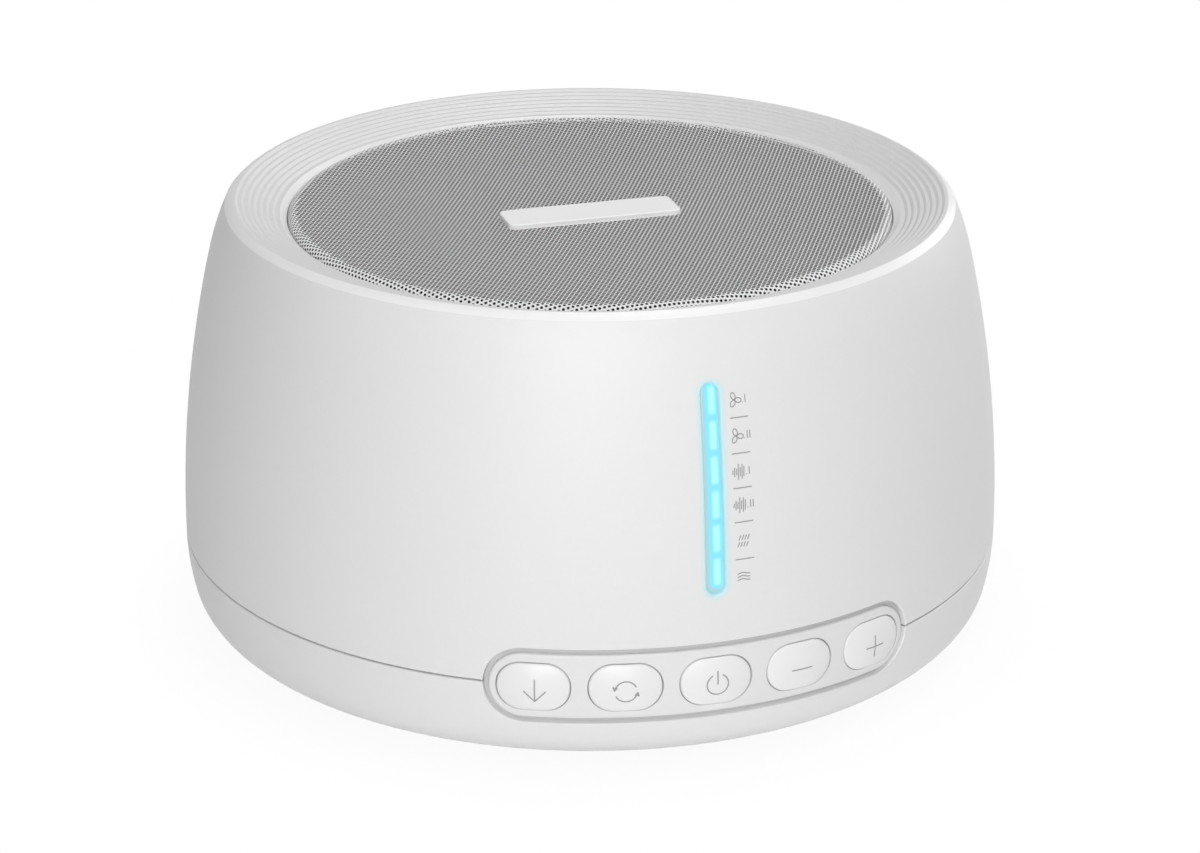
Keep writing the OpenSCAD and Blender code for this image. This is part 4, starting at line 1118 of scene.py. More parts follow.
def build_grille(material):
    """A sheet punched with small holes in staggered rows, its edge bent down and left plain."""
    s, g = sizes("housing"), sizes("grille")
    pan, skin = Pan(s, g), Skin()
    reach = pan.end - g.plain_hem
    rows = int(reach / g.row_pitch) + 1
    columns = int(reach / g.hole_pitch) + 1
    j, i = np.mgrid[-rows : rows + 1, -columns : columns + 1]
    spots = np.stack([(i + 0.5 * (j % 2)) * g.hole_pitch, j * g.row_pitch], -1).reshape(-1, 2)
    spots = spots[np.linalg.norm(spots, axis=1) < reach]

    # Each cell is a rectangle with six points round its rim, joined to six round its hole
    w, h = g.hole_pitch / 2, g.row_pitch / 2
    rim = np.array([(w, h), (0, h), (-w, h), (-w, -h), (0, -h), (w, -h)])
    a = degrees(30, 330, 60)
    hole = g.hole_r * np.stack([np.cos(a), np.sin(a)], 1)
    in_bend = np.linalg.norm(spots, axis=1) > pan.flat_r - BEND_NEAR
    scale = np.where(in_bend, g.bend_hole_r / g.hole_r, 1.0)[:, None, None]
    around = np.concatenate([np.broadcast_to(rim, (len(spots), 6, 2)), hole * scale], axis=1)
    where, normals = pan.place((spots[:, None, :] + around).reshape(-1, 2))
    k = np.arange(6)
    quads = np.stack([k, (k + 1) % 6, (k + 1) % 6 + 6, k + 6], 1)
    faces = (np.arange(len(spots))[:, None, None] * 12 + quads[None]).reshape(-1, 4)
    skin.add(where, normals, faces)

    # The plain hem starts just under the last holes and ends at the skirt's foot
    ways = [*(reach + way for way in HEM_WAYS), pan.end]
    pan.add_rings(skin, ways, HEM_UNDER, FULL_TURN[:-1])
    return skin.build("grille_sheet", [material])


def build_backing_cloth(material):
    """The acoustic cloth, one thin sheet stretched under the grille and tucked inside its bend;
    with it comes the radius that it was cut to."""
    s, g = sizes("housing"), sizes("grille")
    pan, skin = Pan(s, g), Skin()
    end = pan.bend_end + g.cloth_hem
    ways = [*np.linspace(0, pan.flat_r, 24), *np.linspace(pan.flat_r, end, 9)[1:]]
    pan.add_rings(skin, ways, g.sheet_t + g.cloth_play, degrees(0, 357, 3))
    return skin.build("backing_cloth", [material]), end * MM


def build_plate(material):
    """The bare plate on the middle of the grille, with soft edges."""
    s, g = sizes("housing"), sizes("grille")
    skin, place = Skin(), level(Pan(s, g).dish_z(0) + g.plate_t, 1.0)
    outline = round_box((0, 0), g.plate_l, g.plate_w, g.plate_corner)
    grid = np.array([(x, y) for x in spread(-12, 12, 1.5) for y in spread(-3, 3)])
    lay(skin, place, filled(grid, (), (outline, -g.plate_edge), 0.3))
    edge_ring(skin, place, outline, g.plate_edge, g.plate_t, -1)
    return skin.build("bare_plate", [material])


# ---------- the speaker's flexing rings ----------


def build_flexing_ring(name, profile, moving_r, still_r, sectors, material):
    """A ring between the cone and the frame, cut into sectors."""
    half, pieces = math.pi / sectors, []
    for i in range(sectors):
        middle = 2 * half * i
        skin = Skin()
        lathe(skin, profile, middle + np.linspace(-half, half, 6))
        piece = skin.build(f"{name}_{i + 1:02d}", [material])
        outward = np.array([math.sin(middle), -math.cos(middle), 0]) * MM
        start, end = tuple(outward * moving_r), tuple(outward * still_r * math.cos(half))
        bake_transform(piece)
        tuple(start)
        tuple(end)
        pieces.append(piece)
    return pieces


def rubber_edge_profile(v):
    """Half-round roll of rubber between the cone's rim and a flat land on the frame."""
    low, high = (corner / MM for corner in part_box("surround"))
    land_r, cone_r = high.x - v.land_w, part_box("speaker_cone")[1].x / MM
    roll = (land_r - cone_r) / 2
    centre, steep = (cone_r + roll, low.z), math.radians(12)
    over = arc(centre, roll + v.land_t / 2, steep, math.pi - steep, 18)
    under = facing_in(arc(centre, roll - v.land_t / 2, math.pi, 0, 18))
    land = [under[-1, :2], (land_r, low.z), (high.x, low.z), (high.x, low.z + v.land_t)]
    lip = straight([over[-1, :2], under[0, :2]])
    return [over, under, *straight([*land, over[0, :2]]), *lip], cone_r, land_r


def corrugated_disc_profile(v):
    """Thin cloth disc in concentric waves, flat where it is glued to the frame's ledge."""
    low, high = (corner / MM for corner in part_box("spider"))
    coil_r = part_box("voice_coil")[1].x / MM
    r = np.linspace(coil_r, high.x, 61)
    turn = 2 * math.pi * v.waves / (v.ledge_r - coil_r)
    swing = (high.z - low.z - v.disc_t) / 2
    phase = turn * (np.minimum(r, v.ledge_r) - coil_r)
    z = low.z + v.disc_t / 2 + swing * (1 - np.cos(phase))
    slope = np.where(r < v.ledge_r, swing * turn * np.sin(phase), 0)
    over = np.stack([r, z + v.disc_t / 2, -slope, np.ones(len(r))], 1)
    under = facing_in(over - [0, v.disc_t, 0, 0])
    ends = straight([over[-1, :2], under[-1, :2]]) + straight([under[0, :2], over[0, :2]])
    return [over, under, *ends], coil_r, v.ledge_r


# ---------- materials ----------


def feed(tree, node, inputs):
    """Sets a node's inputs; each is a value, a socket, or a node whose first output is meant."""
    for name, value in inputs.items():
        if isinstance(value, bpy.types.Node):
            value = value.outputs[0]
        if isinstance(value, bpy.types.NodeSocket):
            tree.links.new(value, node.inputs[name])
        else:
            node.inputs[name].default_value = value


def add(tree, kind, inputs=None, **settings):
    """Adds a node with its settings and inputs."""
    node = tree.nodes.new(kind)
    for name, value in settings.items():
        setattr(node, name, value)
    feed(tree, node, inputs or {})
    return node


def new_tree(owner):
    """The empty node tree of a material or world."""
    owner.use_nodes = True
    owner.node_tree.nodes.clear()
    return owner.node_tree


def new_material(name, **sockets):
    """A material with one Principled shader, its object coordinates, and values on the shader's
    sockets."""
    material = bpy.data.materials.new(name)
    tree = new_tree(material)
    inputs = {key.replace("_", " "): value for key, value in sockets.items()}
    shader = add(tree, "ShaderNodeBsdfPrincipled", inputs)
    add(tree, "ShaderNodeOutputMaterial", {"Surface": shader})
    return material, tree, shader, add(tree, "ShaderNodeTexCoord").outputs["Object"]


def rgba(code):
    return (*linear(code), 1)


def shaded(code, share):
    """A colour made darker by a share."""
    return tuple(p * (1 - share) for p in linear(code))


def mapped(*values):
    """A value, the range it comes from and the range it is brought to, as a node's inputs."""
    return dict(zip(("Value", "From Min", "From Max", "To Min", "To Max"), values))


GRAIN, CELLS, BANDS = "ShaderNodeTexNoise", "ShaderNodeTexVoronoi", "ShaderNodeTexWave"

# Each pattern's output, its scale for a spacing of one metre, and its other inputs
PATTERNS = {
    GRAIN: ("Fac", 1.0, {"Detail": 4.0}),
    CELLS: ("Distance", 1.0, {}),
    BANDS: ("Fac", 0.314, {}),
}


def colour_and_relief(tree, shader, value, low, high, relief, start=0.0, end=1.0):
    """Lets a pattern's value drive the colour, between a start and an end, and the relief."""
    ramp = add(tree, "ShaderNodeValToRGB", {"Fac": value})
    for stop, place, code in zip(ramp.color_ramp.elements, (start, end), (low, high)):
        stop.position, stop.color = place, rgba(code)
    bump = add(tree, "ShaderNodeBump", {"Height": value, "Distance": relief * MM, "Strength": 1.0})
    feed(tree, shader, {"Base Color": ramp, "Normal": bump})


def textured(
    name, low, high, spacing, roughness, relief, pattern=GRAIN, stretch=(1, 1, 1), **sockets
):
    """A surface whose colour, roughness and relief follow one pattern: spacing and relief are in
    mm, roughness is its lowest and highest value."""
    material, tree, shader, where = new_material(name, **sockets)
    output, scale, others = PATTERNS[pattern]
    moved = add(tree, "ShaderNodeMapping", {"Vector": where, "Scale": stretch})
    node = add(tree, pattern, {"Vector": moved, "Scale": scale / (spacing * MM), **others})
    value = node.outputs[output]
    colour_and_relief(tree, shader, value, low, high, relief, 0.3, 0.7)
    spread = add(tree, "ShaderNodeMapRange", mapped(value, 0.0, 1.0, *roughness))
    feed(tree, shader, {"Roughness": spread})
    return material


def woven(name, low, high, thread, roughness, relief, **sockets):
    """Threads that cross at right angles: thread spacing and relief are in mm."""
    material, tree, shader, where = new_material(name, Roughness=roughness, **sockets)
    inputs = {"Vector": where, "Scale": PATTERNS[BANDS][1] / (thread * MM)}
    warp, weft = (add(tree, BANDS, inputs, bands_direction=way).outputs["Fac"] for way in "XY")
    both = add(tree, "ShaderNodeMath", {0: warp, 1: weft}, operation="MULTIPLY")
    colour_and_relief(tree, shader, both, low, high, relief)
    return material


# Each finish: what it is and how it was made, with what that gives the eye, then the nodes it
# is on, its darker and lighter colour, or how much darker than its tint the first of them is,
# the pattern's spacing in mm, its roughness range and its relief in mm
FINISHES = {
    # ABS, injection moulded in a lightly spark-eroded tool: a soft even white with a broad, weak
    # sheen and a grain too fine to see but for the way it breaks up highlights
    "moulded_abs": dict(darker=0.012, spacing=0.55, roughness=(0.42, 0.5), relief=0.006, IOR=1.53),
    # ABS where the tool is polished, on the rim's chamfer and bevel: smoother, and whiter as a
    # painted highlight
    "polished_abs_rim_painted_highlight": dict(
        darker=0.01, spacing=0.8, roughness=(0.32, 0.38), relief=0.002, IOR=1.53
    ),
    # ABS, moulded in a polished tool: pearly white with a tighter sheen than the shells
    "polished_abs": dict(darker=0.01, spacing=1.2, roughness=(0.3, 0.36), relief=0.002, IOR=1.53),
    # Steel sheet, punched and powder coated: matt white with a faint orange peel
    "powder_coated_steel": dict(
        darker=0.03, spacing=0.4, roughness=(0.5, 0.6), relief=0.004, IOR=1.5
    ),
    # Aluminium plate, painted and clear lacquered: a smooth white that takes on a little of the
    # bright surroundings at a low angle
    "lacquered_plate": dict(
        darker=0.015, spacing=0.8, roughness=(0.34, 0.42), relief=0.002, IOR=1.5,
        Coat_Weight=1.0, Coat_Roughness=0.25,
    ),
    # Pad-printed ink: thin, dull grey, with slightly uneven cover
    "pad_printed_ink": dict(
        darker=0.1, spacing=0.12, roughness=(0.5, 0.6), relief=0.001, IOR=1.5
    ),
    # Silicone rubber, moulded: dull grey, slightly powdery, with no shine
    "moulded_silicone": dict(
        low="#3C3E41", high="#4C4F52", spacing=0.5, roughness=(0.7, 0.82), relief=0.01, IOR=1.41
    ),
    # Butyl rubber, moulded: black with a soft sheen
    "butyl_rubber": dict(
        low="#131415", high="#202123", spacing=0.8, roughness=(0.5, 0.62), relief=0.006
    ),
    # Polypropylene, moulded in an eroded tool: dull charcoal with an even grain
    "moulded_polypropylene": dict(
        nodes=["switch_housings", "switch_carrier", "light_baffle", "inlet_body"]
        + ["plunger_" + key for key in KEY_NAMES],
        low="#1E1F21", high="#2C2D30", spacing=0.4, roughness=(0.5, 0.65), relief=0.01,
    ),
    # Polyimide film over copper: glossy amber with faint dark tracks
    "polyimide_film": dict(
        nodes=["switch_flex", "key_ribbon"], pattern=BANDS, IOR=1.7,
        low="#9A5A1E", high="#C8853A", spacing=1.2, roughness=(0.2, 0.35), relief=0.01,
    ),
    # Steel, zinc plated: pale grey with a fine brushed scatter
    "zinc_plated_steel": dict(
        nodes=[part + "_screws" for part in ("carrier", "indicator", "speaker", "board", "case")],
        low="#9FA3A6", high="#C4C8CC", spacing=0.3, roughness=(0.25, 0.4), relief=0.003,
        stretch=(1, 1, 6), Metallic=1.0,
    ),
    # Epoxy laminate under solder mask: dark green with slightly paler tracks
    "solder_masked_laminate": dict(
        nodes=["main_board", "indicator_board"], pattern=CELLS, IOR=1.55,
        low="#154A30", high="#1F6B45", spacing=2.5, roughness=(0.3, 0.45), relief=0.02,
    ),
    # PVC ribbon cable: grey, with a ridge for each wire
    "ribbon_cable_pvc": dict(
        nodes=["indicator_ribbon"], pattern=BANDS,
        low="#A9AEB2", high="#D9DDE0", spacing=1.0, roughness=(0.45, 0.55), relief=0.15,
    ),
    # Epoxy lens of a lit diode: pale and glossy
    "diode_epoxy": dict(
        nodes=["indicator_leds"], IOR=1.54,
        low="#CFEFF5", high="#E8FBFF", spacing=0.6, roughness=(0.15, 0.25), relief=0.004,
    ),
    # Polyurethane foam, die cut: black and open celled
    "cut_foam": dict(
        nodes=["speaker_gasket"], pattern=CELLS,
        low="#0C0C0D", high="#242526", spacing=0.5, roughness=(0.85, 0.98), relief=0.12,
    ),
    # Steel, pressed and black painted: smooth satin
    "painted_pressing": dict(
        nodes=["speaker_basket"],
        low="#26282B", high="#34373B", spacing=0.5, roughness=(0.35, 0.45), relief=0.006,
    ),
    # Mild steel, nickel plated and turned: grey with rings of tool marks
    "turned_pole_steel": dict(
        nodes=["speaker_top_plate", "speaker_yoke"], pattern=BANDS, Metallic=1.0,
        low="#8E9296", high="#B9BDC1", spacing=0.5, roughness=(0.28, 0.42), relief=0.004,
    ),
    # Ferrite, sintered and ground: nearly black, matt, with small pits
    "sintered_ferrite": dict(
        nodes=["speaker_magnet"],
        low="#1C1D20", high="#303238", spacing=0.7, roughness=(0.6, 0.8), relief=0.02,
    ),
    # Paper pulp, felted and pressed: charcoal with visible fibres
    "felted_paper": dict(
        nodes=["speaker_cone", "dust_cap"], stretch=(1, 3, 1),
        low="#191A1C", high="#2F3134", spacing=0.35, roughness=(0.8, 0.95), relief=0.03,
    ),
    # Enamelled copper wire, wound: bright turns side by side
    "wound_copper": dict(
        nodes=["voice_coil"], pattern=BANDS, stretch=(0, 0, 1), Metallic=1.0,
        low="#7E4A22", high="#C67A3C", spacing=0.25, roughness=(0.25, 0.4), relief=0.05,
    ),
    # Paper laminate with phenolic resin: brown and slightly fibrous
    "phenolic_board": dict(
        nodes=["speaker_terminals"], stretch=(1, 4, 1),
        low="#6E431E", high="#8F5F30", spacing=0.5, roughness=(0.45, 0.6), relief=0.01,
    ),
    # PVC insulation, extruded: smooth red with a weak streak along it
    "extruded_pvc": dict(
        nodes=["speaker_wires"],
        low="#8E1B1B", high="#A82424", spacing=0.8, roughness=(0.35, 0.45), relief=0.004,
    ),
    # Shrunk PET sleeve: deep blue and glossy
    "shrunk_sleeve": dict(
        nodes=["capacitors"],
        low="#26345A", high="#34456F", spacing=2.0, roughness=(0.18, 0.28), relief=0.01,
    ),
    # Nylon, moulded: waxy cream
    "moulded_nylon": dict(
        nodes=["board_headers"], IOR=1.53,
        low="#DDD6C2", high="#ECE7D8", spacing=0.6, roughness=(0.45, 0.55), relief=0.006,
    ),
    # Brass pin, nickel plated: smooth, warm grey metal
    "nickel_plated_pin": dict(
        nodes=["inlet_pin"], Metallic=1.0,
        low="#A8A69F", high="#CFCDC6", spacing=0.3, roughness=(0.15, 0.25), relief=0.001,
    ),
    # Epoxy moulding compound of a chip: fine matt black
    "chip_epoxy": dict(
        nodes=["processor_chip", "amplifier_chip", "memory_chip"],
        low="#17181A", high="#232427", spacing=0.15, roughness=(0.6, 0.75), relief=0.004,
    ),
}


def finish(kind, tint=None, name=None):
    """A material of one of the finishes; some take their lighter colour from a tint."""
    recipe = {key: value for key, value in FINISHES[kind].items() if key != "nodes"}
    if tint is not None:
        recipe.update(low=shaded(tint, recipe.pop("darker")), high=tint)
    return textured(name or kind, **recipe)


def bar_distance(tree, where, s, b):
    """Distance in metres from the light bar's slot, on the front of the housing."""
    split = add(tree, "ShaderNodeSeparateXYZ", {"Vector": where})
    middle, half = (s.body_h - b.bar_drop) * MM, (b.bar_l - b.bar_w) / 2 * MM
    offset = add(tree, "ShaderNodeMath", {0: split.outputs["Z"], 1: middle}, operation="SUBTRACT")
    high = add(tree, "ShaderNodeMath", {0: offset}, operation="ABSOLUTE")
    past = add(tree, "ShaderNodeMath", {0: high, 1: half}, operation="SUBTRACT")
    past = add(tree, "ShaderNodeMath", {0: past, 1: 0.0}, operation="MAXIMUM")
    flat = add(tree, "ShaderNodeCombineXYZ", {"X": split.outputs["X"], "Y": past})
    way = add(tree, "ShaderNodeVectorMath", {0: flat}, operation="LENGTH").outputs["Value"]
    return add(tree, "ShaderNodeMath", {0: way, 1: b.bar_w / 2 * MM}, operation="SUBTRACT")


# Painted light: the share of its red, green and blue that the plastic beside the slot keeps, tinted
# as if the bar's cyan light fell on it
LIGHT_TINT = (0.7, 0.96, 1.0)
# Strength of the painted glow's emission at the slot's edge
SPILL = 0.07  # brightness of the plastic at the slot's edge, against the lens


def painted_glow_shell_material(tint):
    """Moulded ABS, as on the other shell, with a painted glow: around the slot the plastic is tinted
    towards the light bar's colour and given a faint emission, standing for the bar's light falling on
    it."""
    s, b = sizes("housing"), sizes("light_bar")
    material = finish("moulded_abs", tint, "moulded_abs_upper_painted_glow")
    tree = material.node_tree
    shader = next(n for n in tree.nodes if n.type == "BSDF_PRINCIPLED")
    where = next(n for n in tree.nodes if n.type == "TEX_COORD").outputs["Object"]
    near = mapped(bar_distance(tree, where, s, b), 0.0, b.glow * MM, 1.0, 0.0)
    fade = add(tree, "ShaderNodeMapRange", near, interpolation_type="SMOOTHSTEP")
    forward = add(tree, "ShaderNodeSeparateXYZ", {"Vector": where}).outputs["Y"]
    front = add(tree, "ShaderNodeMath", {0: forward, 1: 0.0}, operation="LESS_THAN")
    glow = add(tree, "ShaderNodeMath", {0: fade, 1: front}, operation="MULTIPLY")
    # Painted light: near the slot the white is mixed towards a cyan tint and a faint emission is
    # added
    white = shader.inputs["Base Color"].links[0].from_socket
    beside = (*(p * share for p, share in zip(tint, LIGHT_TINT)), 1)
    mixed = add(tree, "ShaderNodeMix", {0: glow, 6: white, 7: beside}, data_type="RGBA")
    spill = add(tree, "ShaderNodeMath", {0: glow, 1: SPILL}, operation="MULTIPLY")
    light = rgba(sizes("colours").light)
    lit = {"Base Color": mixed.outputs[2], "Emission Color": light, "Emission Strength": spill}
    feed(tree, shader, lit)
    return material


# Where a segment's core fades, as shares of its pitch and of the lens's half width
ENDS_FADE, SIDES_FADE = (0.3, 0.47), (0.1, 0.62)
# The lens's dimmer border is painted shade
SHADE_BORDER = (-0.5, 0.05)  # where the lens's border sets in and ends, in mm from its edge


def lens_material(colours):
    """Opal acrylic, moulded and lit from behind: each segment has a pale core and a deeper cyan edge.
    A dimmer band along the lens's edge, widest on the left and at the bottom, is painted shade."""
    s, b = sizes("housing"), sizes("light_bar")
    material, tree, shader, where = new_material(
        "lit_opal_acrylic", Roughness=0.25, IOR=1.49, Emission_Strength=1.0,
        Base_Color=rgba(colours.unlit_lens),
    )
    moved = {"Vector": where, "Location": (-b.lit_shift * MM, 0, -b.lit_shift / 2 * MM)}
    lit = add(tree, "ShaderNodeMapping", moved)
    split = add(tree, "ShaderNodeSeparateXYZ", {"Vector": lit})
    base = (s.body_h - b.bar_drop - b.pitch * b.segments / 2) * MM
    height = add(tree, "ShaderNodeMath", {0: split.outputs["Z"], 1: base}, operation="SUBTRACT")
    cell = add(tree, "ShaderNodeMath", {0: height, 1: b.pitch * MM}, operation="DIVIDE")
    fraction = add(tree, "ShaderNodeMath", {0: cell}, operation="FRACT")
    centred = add(tree, "ShaderNodeMath", {0: fraction, 1: 0.5}, operation="SUBTRACT")
    upright = add(tree, "ShaderNodeMath", {0: centred}, operation="ABSOLUTE")
    wide = add(tree, "ShaderNodeMath", {0: split.outputs["X"]}, operation="ABSOLUTE")
    half, distance = b.bar_w / 2 * MM, bar_distance(tree, lit, s, b)
    ends, sides, border = (
        add(tree, "ShaderNodeMapRange", mapped(*values), interpolation_type="SMOOTHSTEP")
        for values in (
            (upright, *ENDS_FADE, 1.0, 0.0),
            (wide, *(share * half for share in SIDES_FADE), 1.0, 0.0),
            (distance, *(edge * MM for edge in SHADE_BORDER), 0.0, 1.0),
        )
    )
    core = add(tree, "ShaderNodeMath", {0: ends, 1: sides}, operation="MULTIPLY")
    ramp = add(tree, "ShaderNodeValToRGB", {"Fac": core})
    for stop, code in zip(ramp.color_ramp.elements, (colours.light, colours.light_core)):
        stop.color = rgba(code)
    # The border is painted shade: it dims the lens's edge towards the grey-cyan colour
    inputs = {0: border, 6: ramp, 7: rgba(colours.light_border)}
    mixed = add(tree, "ShaderNodeMix", inputs, data_type="RGBA")
    feed(tree, shader, {"Emission Color": mixed.outputs[2]})
    return material


def dress(node, material):
    """Gives a carried-over CAD node one material on all of its slots."""
    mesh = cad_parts[node].data
    mesh.materials.clear()
    mesh.materials.append(material)
    mesh.polygons.foreach_set("material_index", np.zeros(len(mesh.polygons), np.int32))


# ---------- the stage ----------


def seen_share(tree):
    """1 for rays from the camera, and for the reflections and glass that show the background."""
    path = add(tree, "ShaderNodeLightPath").outputs
    direct = {0: path["Is Camera Ray"], 1: path["Is Glossy Ray"]}
    seen = add(tree, "ShaderNodeMath", direct, operation="MAXIMUM")
    inputs = {0: seen, 1: path["Is Transmission Ray"]}
    return add(tree, "ShaderNodeMath", inputs, operation="MAXIMUM")


# The floor's faint shadow: the distances in m between which it fades out, and the share of pure
# white in it and past it
SHADOW = (0.055, 0.075, 0.93, 1.0)
WHITE = (1, 1, 1, 1)
AMBIENT = 0.1  # brightness of the white room as a light


def add_floor():
    """A white sweep that shows pure white far off and keeps a faint shadow under the object."""
    skin, reach = Skin(), sizes("stage").floor_reach
    corners = [(x * reach, y * reach, 0) for x, y in ((-1, -1), (1, -1), (1, 1), (-1, 1))]
    skin.add(corners, np.tile((0, 0, 1.0), (4, 1)), [(0, 1, 2, 3)])
    # Paper, matt and bleached: an even white with no sheen
    material = bpy.data.materials.new("white_paper_sweep")
    tree = new_tree(material)
    where = add(tree, "ShaderNodeTexCoord").outputs["Object"]
    way = add(tree, "ShaderNodeVectorMath", {0: where}, operation="LENGTH").outputs["Value"]
    inputs = mapped(way, *SHADOW)
    share = add(tree, "ShaderNodeMapRange", inputs, interpolation_type="SMOOTHSTEP")
    share = add(tree, "ShaderNodeMath", {0: share, 1: seen_share(tree)}, operation="MULTIPLY")
    paper = add(tree, "ShaderNodeBsdfDiffuse", {"Color": (0.9, 0.9, 0.9, 1)})
    white = add(tree, "ShaderNodeEmission", {"Color": WHITE, "Strength": 1.0})
    mixed = add(tree, "ShaderNodeMixShader", {0: share, 1: paper, 2: white})
    add(tree, "ShaderNodeOutputMaterial", {"Surface": mixed})
    skin.build("floor", [material])


def add_world():
    world = bpy.data.worlds.new("white_room")
    bpy.context.scene.world = world
    tree = new_tree(world)
    room, white = (
        add(tree, "ShaderNodeBackground", {"Color": WHITE, "Strength": strength})
        for strength in (AMBIENT, 1.0)
    )
    mixed = add(tree, "ShaderNodeMixShader", {0: seen_share(tree), 1: room, 2: white})
    add(tree, "ShaderNodeOutputWorld", {"Surface": mixed})


def hold(name, data, azimuth, elevation, distance, height):
    """Puts a lamp or camera at a distance in m from a point above the middle, turned towards it."""
    away = Vector((*(bearings([azimuth])[0] * math.cos(elevation)), math.sin(elevation)))
    holder = bpy.data.objects.new(name, data)
    holder.location = away * distance + Vector((0, 0, height * MM))
    holder.rotation_euler = away.to_track_quat("Z", "Y").to_euler()
    bpy.context.scene.collection.objects.link(holder)
    return holder


# Name, direction from the object in degrees (azimuth from the front, elevation) and power in W
LAMPS = (
    ("key_lamp", -18, 14, 3.8),
    ("high_lamp", -20, 40, 0.9),
    ("top_lamp", 60, 80, 2.8),
    ("side_lamp", 116, 20, 2.2),
)
LAMP_SIZE, LAMP_DISTANCE = 0.5, 0.9  # in m
SENSOR = 36.0  # width in mm


def add_lamps():
    height = sizes("stage").lamp_height
    for name, azimuth, elevation, power in LAMPS:
        lamp = bpy.data.lights.new(name, "AREA")
        lamp.size, lamp.energy = LAMP_SIZE, power
        hold(name, lamp, math.radians(azimuth), math.radians(elevation), LAMP_DISTANCE, height)


def add_camera():
    t = sizes("stage")
    data = bpy.data.cameras.new("camera")
    data.lens, data.sensor_width, data.shift_x = t.lens, SENSOR, t.shift
    camera = hold("camera", data, t.azimuth, t.elevation, t.distance * MM, t.look_at)
    bpy.context.scene.camera = camera


# ---------- operators ----------


class SOUNDMACHINE_OT_upper_shell(bpy.types.Operator):
    """Upper shell: wall, shoulder, rim, steps and the seat of the grille."""

    bl_idname = "sound_machine.upper_shell"
    bl_label = "Upper shell"

    def execute(self, context):
        colours = sizes("colours")
        material = painted_glow_shell_material(colours.shell)
        rim = finish("polished_abs_rim_painted_highlight", colours.rim)
        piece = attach(build_upper_shell(material, rim), "housing")
        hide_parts("upper_shell")
        return {"FINISHED"}


class SOUNDMACHINE_OT_base_shell(bpy.types.Operator):
    """Base shell: side, bottom, pockets of the feet and recesses of the screws."""

    bl_idname = "sound_machine.base_shell"
    bl_label = "Base shell"

    def execute(self, context):
        material = finish("moulded_abs", sizes("colours").shell, "moulded_abs_base")
        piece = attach(build_base_shell(material), "housing")
        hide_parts("base_shell")
        return {"FINISHED"}


class SOUNDMACHINE_OT_key_panel(bpy.types.Operator):
    """Key panel: raised face with five openings, in a groove."""

    bl_idname = "sound_machine.key_panel"
    bl_label = "Key panel"

    def execute(self, context):
        colours = sizes("colours")
        face = finish("moulded_abs", colours.panel, "moulded_abs_panel")
        # The grey second material is painted shade for the groove's floor and the key openings' edges
        groove = finish("moulded_abs", colours.groove, "painted_shade_abs_groove")
        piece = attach(build_key_panel(face, groove), "housing")
        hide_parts("control_panel")
        return {"FINISHED"}


class SOUNDMACHINE_OT_keys(bpy.types.Operator):
    """Five keys with their printed marks; each rides on its own body."""

    bl_idname = "sound_machine.keys"
    bl_label = "Keys"

    def execute(self, context):
        colours = sizes("colours")
        plastic = finish("polished_abs", colours.key)
        ink = finish("pad_printed_ink", colours.key_mark, "printed_key_ink")
        for i, name in enumerate(KEY_NAMES):
            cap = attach(build_key_cap(i, plastic), "key_" + name)
            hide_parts("button_" + name)
            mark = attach(build_key_mark(i, ink), "key_" + name)
        return {"FINISHED"}


class SOUNDMACHINE_OT_light_bar(bpy.types.Operator):
    """Light bar's lens, and the marks printed beside it."""

    bl_idname = "sound_machine.light_bar"
    bl_label = "Light bar"

    def execute(self, context):
        colours = sizes("colours")
        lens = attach(build_lens(lens_material(colours)), "housing")
        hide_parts("light_lens")
        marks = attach(build_wall_marks(finish("pad_printed_ink", colours.mark)), "housing")
        return {"FINISHED"}


class SOUNDMACHINE_OT_grille(bpy.types.Operator):
    """Perforated grille, the cloth under it and the bare plate on it."""

    bl_idname = "sound_machine.grille"
    bl_label = "Grille"

    def execute(self, context):
        colours = sizes("colours")
        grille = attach(build_grille(finish("powder_coated_steel", colours.grille)), "housing")
        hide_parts("speaker_grille")
        # Polyester cloth, plain woven: black, with each thread just visible
        polyester = woven("acoustic_polyester", "#060607", "#141415", 0.35, 0.95, 0.08)
        cloth, end = build_backing_cloth(polyester)
        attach(cloth, "housing")
        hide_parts("acoustic_cloth")
        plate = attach(build_plate(finish("lacquered_plate", colours.plate)), "housing")
        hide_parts("name_plate")
        return {"FINISHED"}


class SOUNDMACHINE_OT_feet(bpy.types.Operator):
    """Four rubber feet with a raised rim."""

    bl_idname = "sound_machine.feet"
    bl_label = "Feet"

    def execute(self, context):
        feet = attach(build_feet(finish("moulded_silicone")), "housing")
        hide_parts("rubber_feet")
        return {"FINISHED"}


class SOUNDMACHINE_OT_flexing_rings(bpy.types.Operator):
    """Rubber edge and corrugated disc that carry the speaker's cone."""

    bl_idname = "sound_machine.flexing_rings"
    bl_label = "Flexing rings"

    def execute(self, context):
        v = sizes("speaker")
        rubber = finish("butyl_rubber")
        edge = build_flexing_ring("rubber_edge", *rubber_edge_profile(v), v.sectors, rubber)
        for piece in edge:
            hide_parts("surround")
        # Glass-cloth disc stiffened with resin: honey brown, woven and corrugated
        cloth = woven("resin_cloth", "#8A6428", "#C0934A", 0.45, 0.8, 0.06)
        disc = build_flexing_ring("corrugated_disc", *corrugated_disc_profile(v), v.sectors, cloth)
        for piece in disc:
            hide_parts("spider")
        return {"FINISHED"}


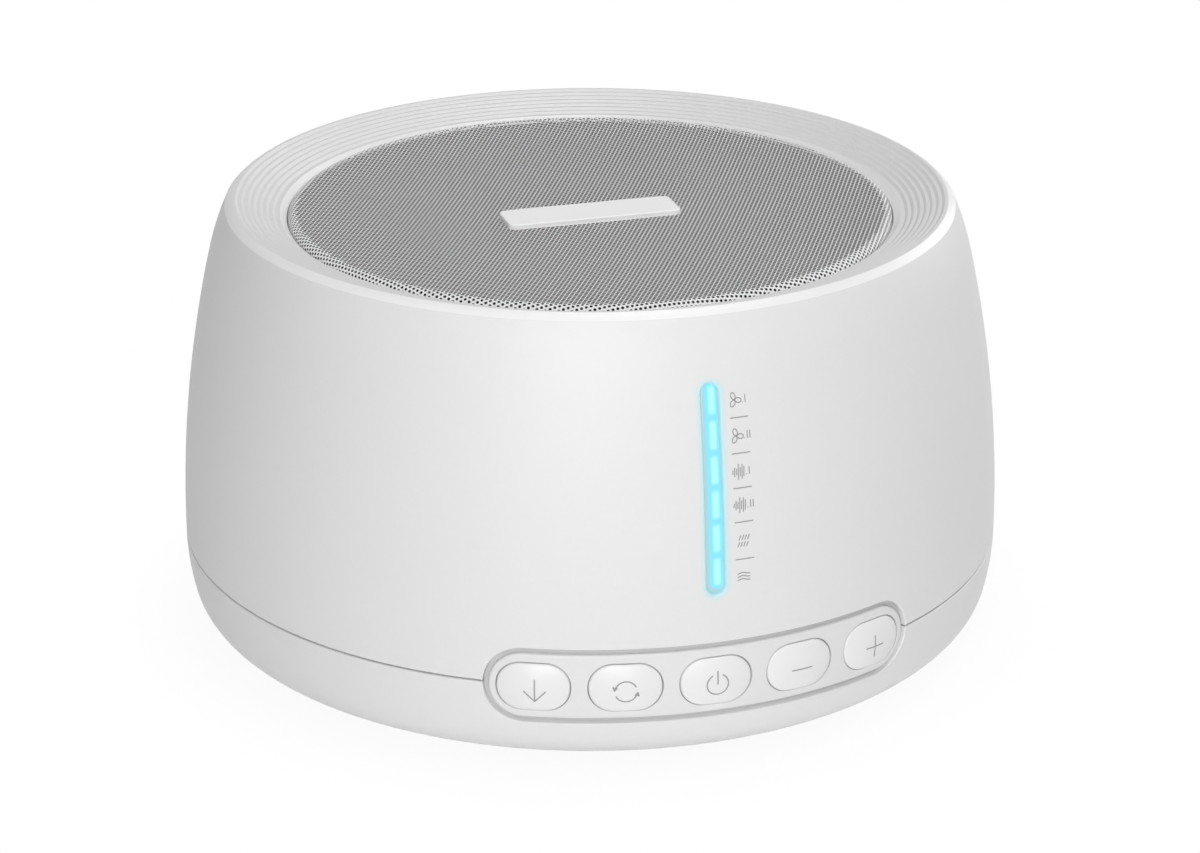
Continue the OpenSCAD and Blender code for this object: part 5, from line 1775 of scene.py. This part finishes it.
class SOUNDMACHINE_OT_inner_parts(bpy.types.Operator):
    """Finishes of the pieces inside, which keep their CAD shapes."""

    bl_idname = "sound_machine.inner_parts"
    bl_label = "Inner parts"

    def execute(self, context):
        for kind, recipe in FINISHES.items():
            if "nodes" in recipe:
                material = finish(kind)
                for node in recipe["nodes"]:
                    dress(node, material)
        return {"FINISHED"}


class SOUNDMACHINE_OT_stage(bpy.types.Operator):
    """White floor and background, soft lamps and the camera."""

    bl_idname = "sound_machine.stage"
    bl_label = "Stage"

    def execute(self, context):
        add_floor()
        add_world()
        add_lamps()
        add_camera()
        return {"FINISHED"}


OPERATORS = (
    SOUNDMACHINE_OT_upper_shell,
    SOUNDMACHINE_OT_base_shell,
    SOUNDMACHINE_OT_key_panel,
    SOUNDMACHINE_OT_keys,
    SOUNDMACHINE_OT_light_bar,
    SOUNDMACHINE_OT_grille,
    SOUNDMACHINE_OT_feet,
    SOUNDMACHINE_OT_flexing_rings,
    SOUNDMACHINE_OT_inner_parts,
    SOUNDMACHINE_OT_stage,
)


class SOUNDMACHINE_PT_pieces(bpy.types.Panel):
    """Lists the pieces in the order in which they are built, and their sizes and colours."""

    bl_idname = "SOUNDMACHINE_PT_pieces"
    bl_label = "Sound machine"
    bl_space_type = "VIEW_3D"
    bl_region_type = "UI"
    bl_category = "Sound machine"

    def draw(self, context):
        for operator in OPERATORS:
            self.layout.operator(operator.bl_idname)
        for group in GROUPS:
            box = self.layout.box()
            owner, own = properties(group)
            for item in own:
                box.prop(owner, item.identifier)


CLASSES = (*GROUPS.values(), *OPERATORS, SOUNDMACHINE_PT_pieces)


def register():
    for item in CLASSES:
        bpy.utils.register_class(item)
    for name, group in GROUPS.items():
        setattr(bpy.types.Scene, PREFIX + name, PointerProperty(type=group))


def unregister():
    for name in GROUPS:
        delattr(bpy.types.Scene, PREFIX + name)
    for item in reversed(CLASSES):
        bpy.utils.unregister_class(item)


def main():
    register()
    for operator in OPERATORS:
        getattr(bpy.ops.sound_machine, operator.bl_idname.split(".")[1])()
    bpy.context.scene.view_settings.view_transform = "Standard"


if __name__ == "__main__":
    main()
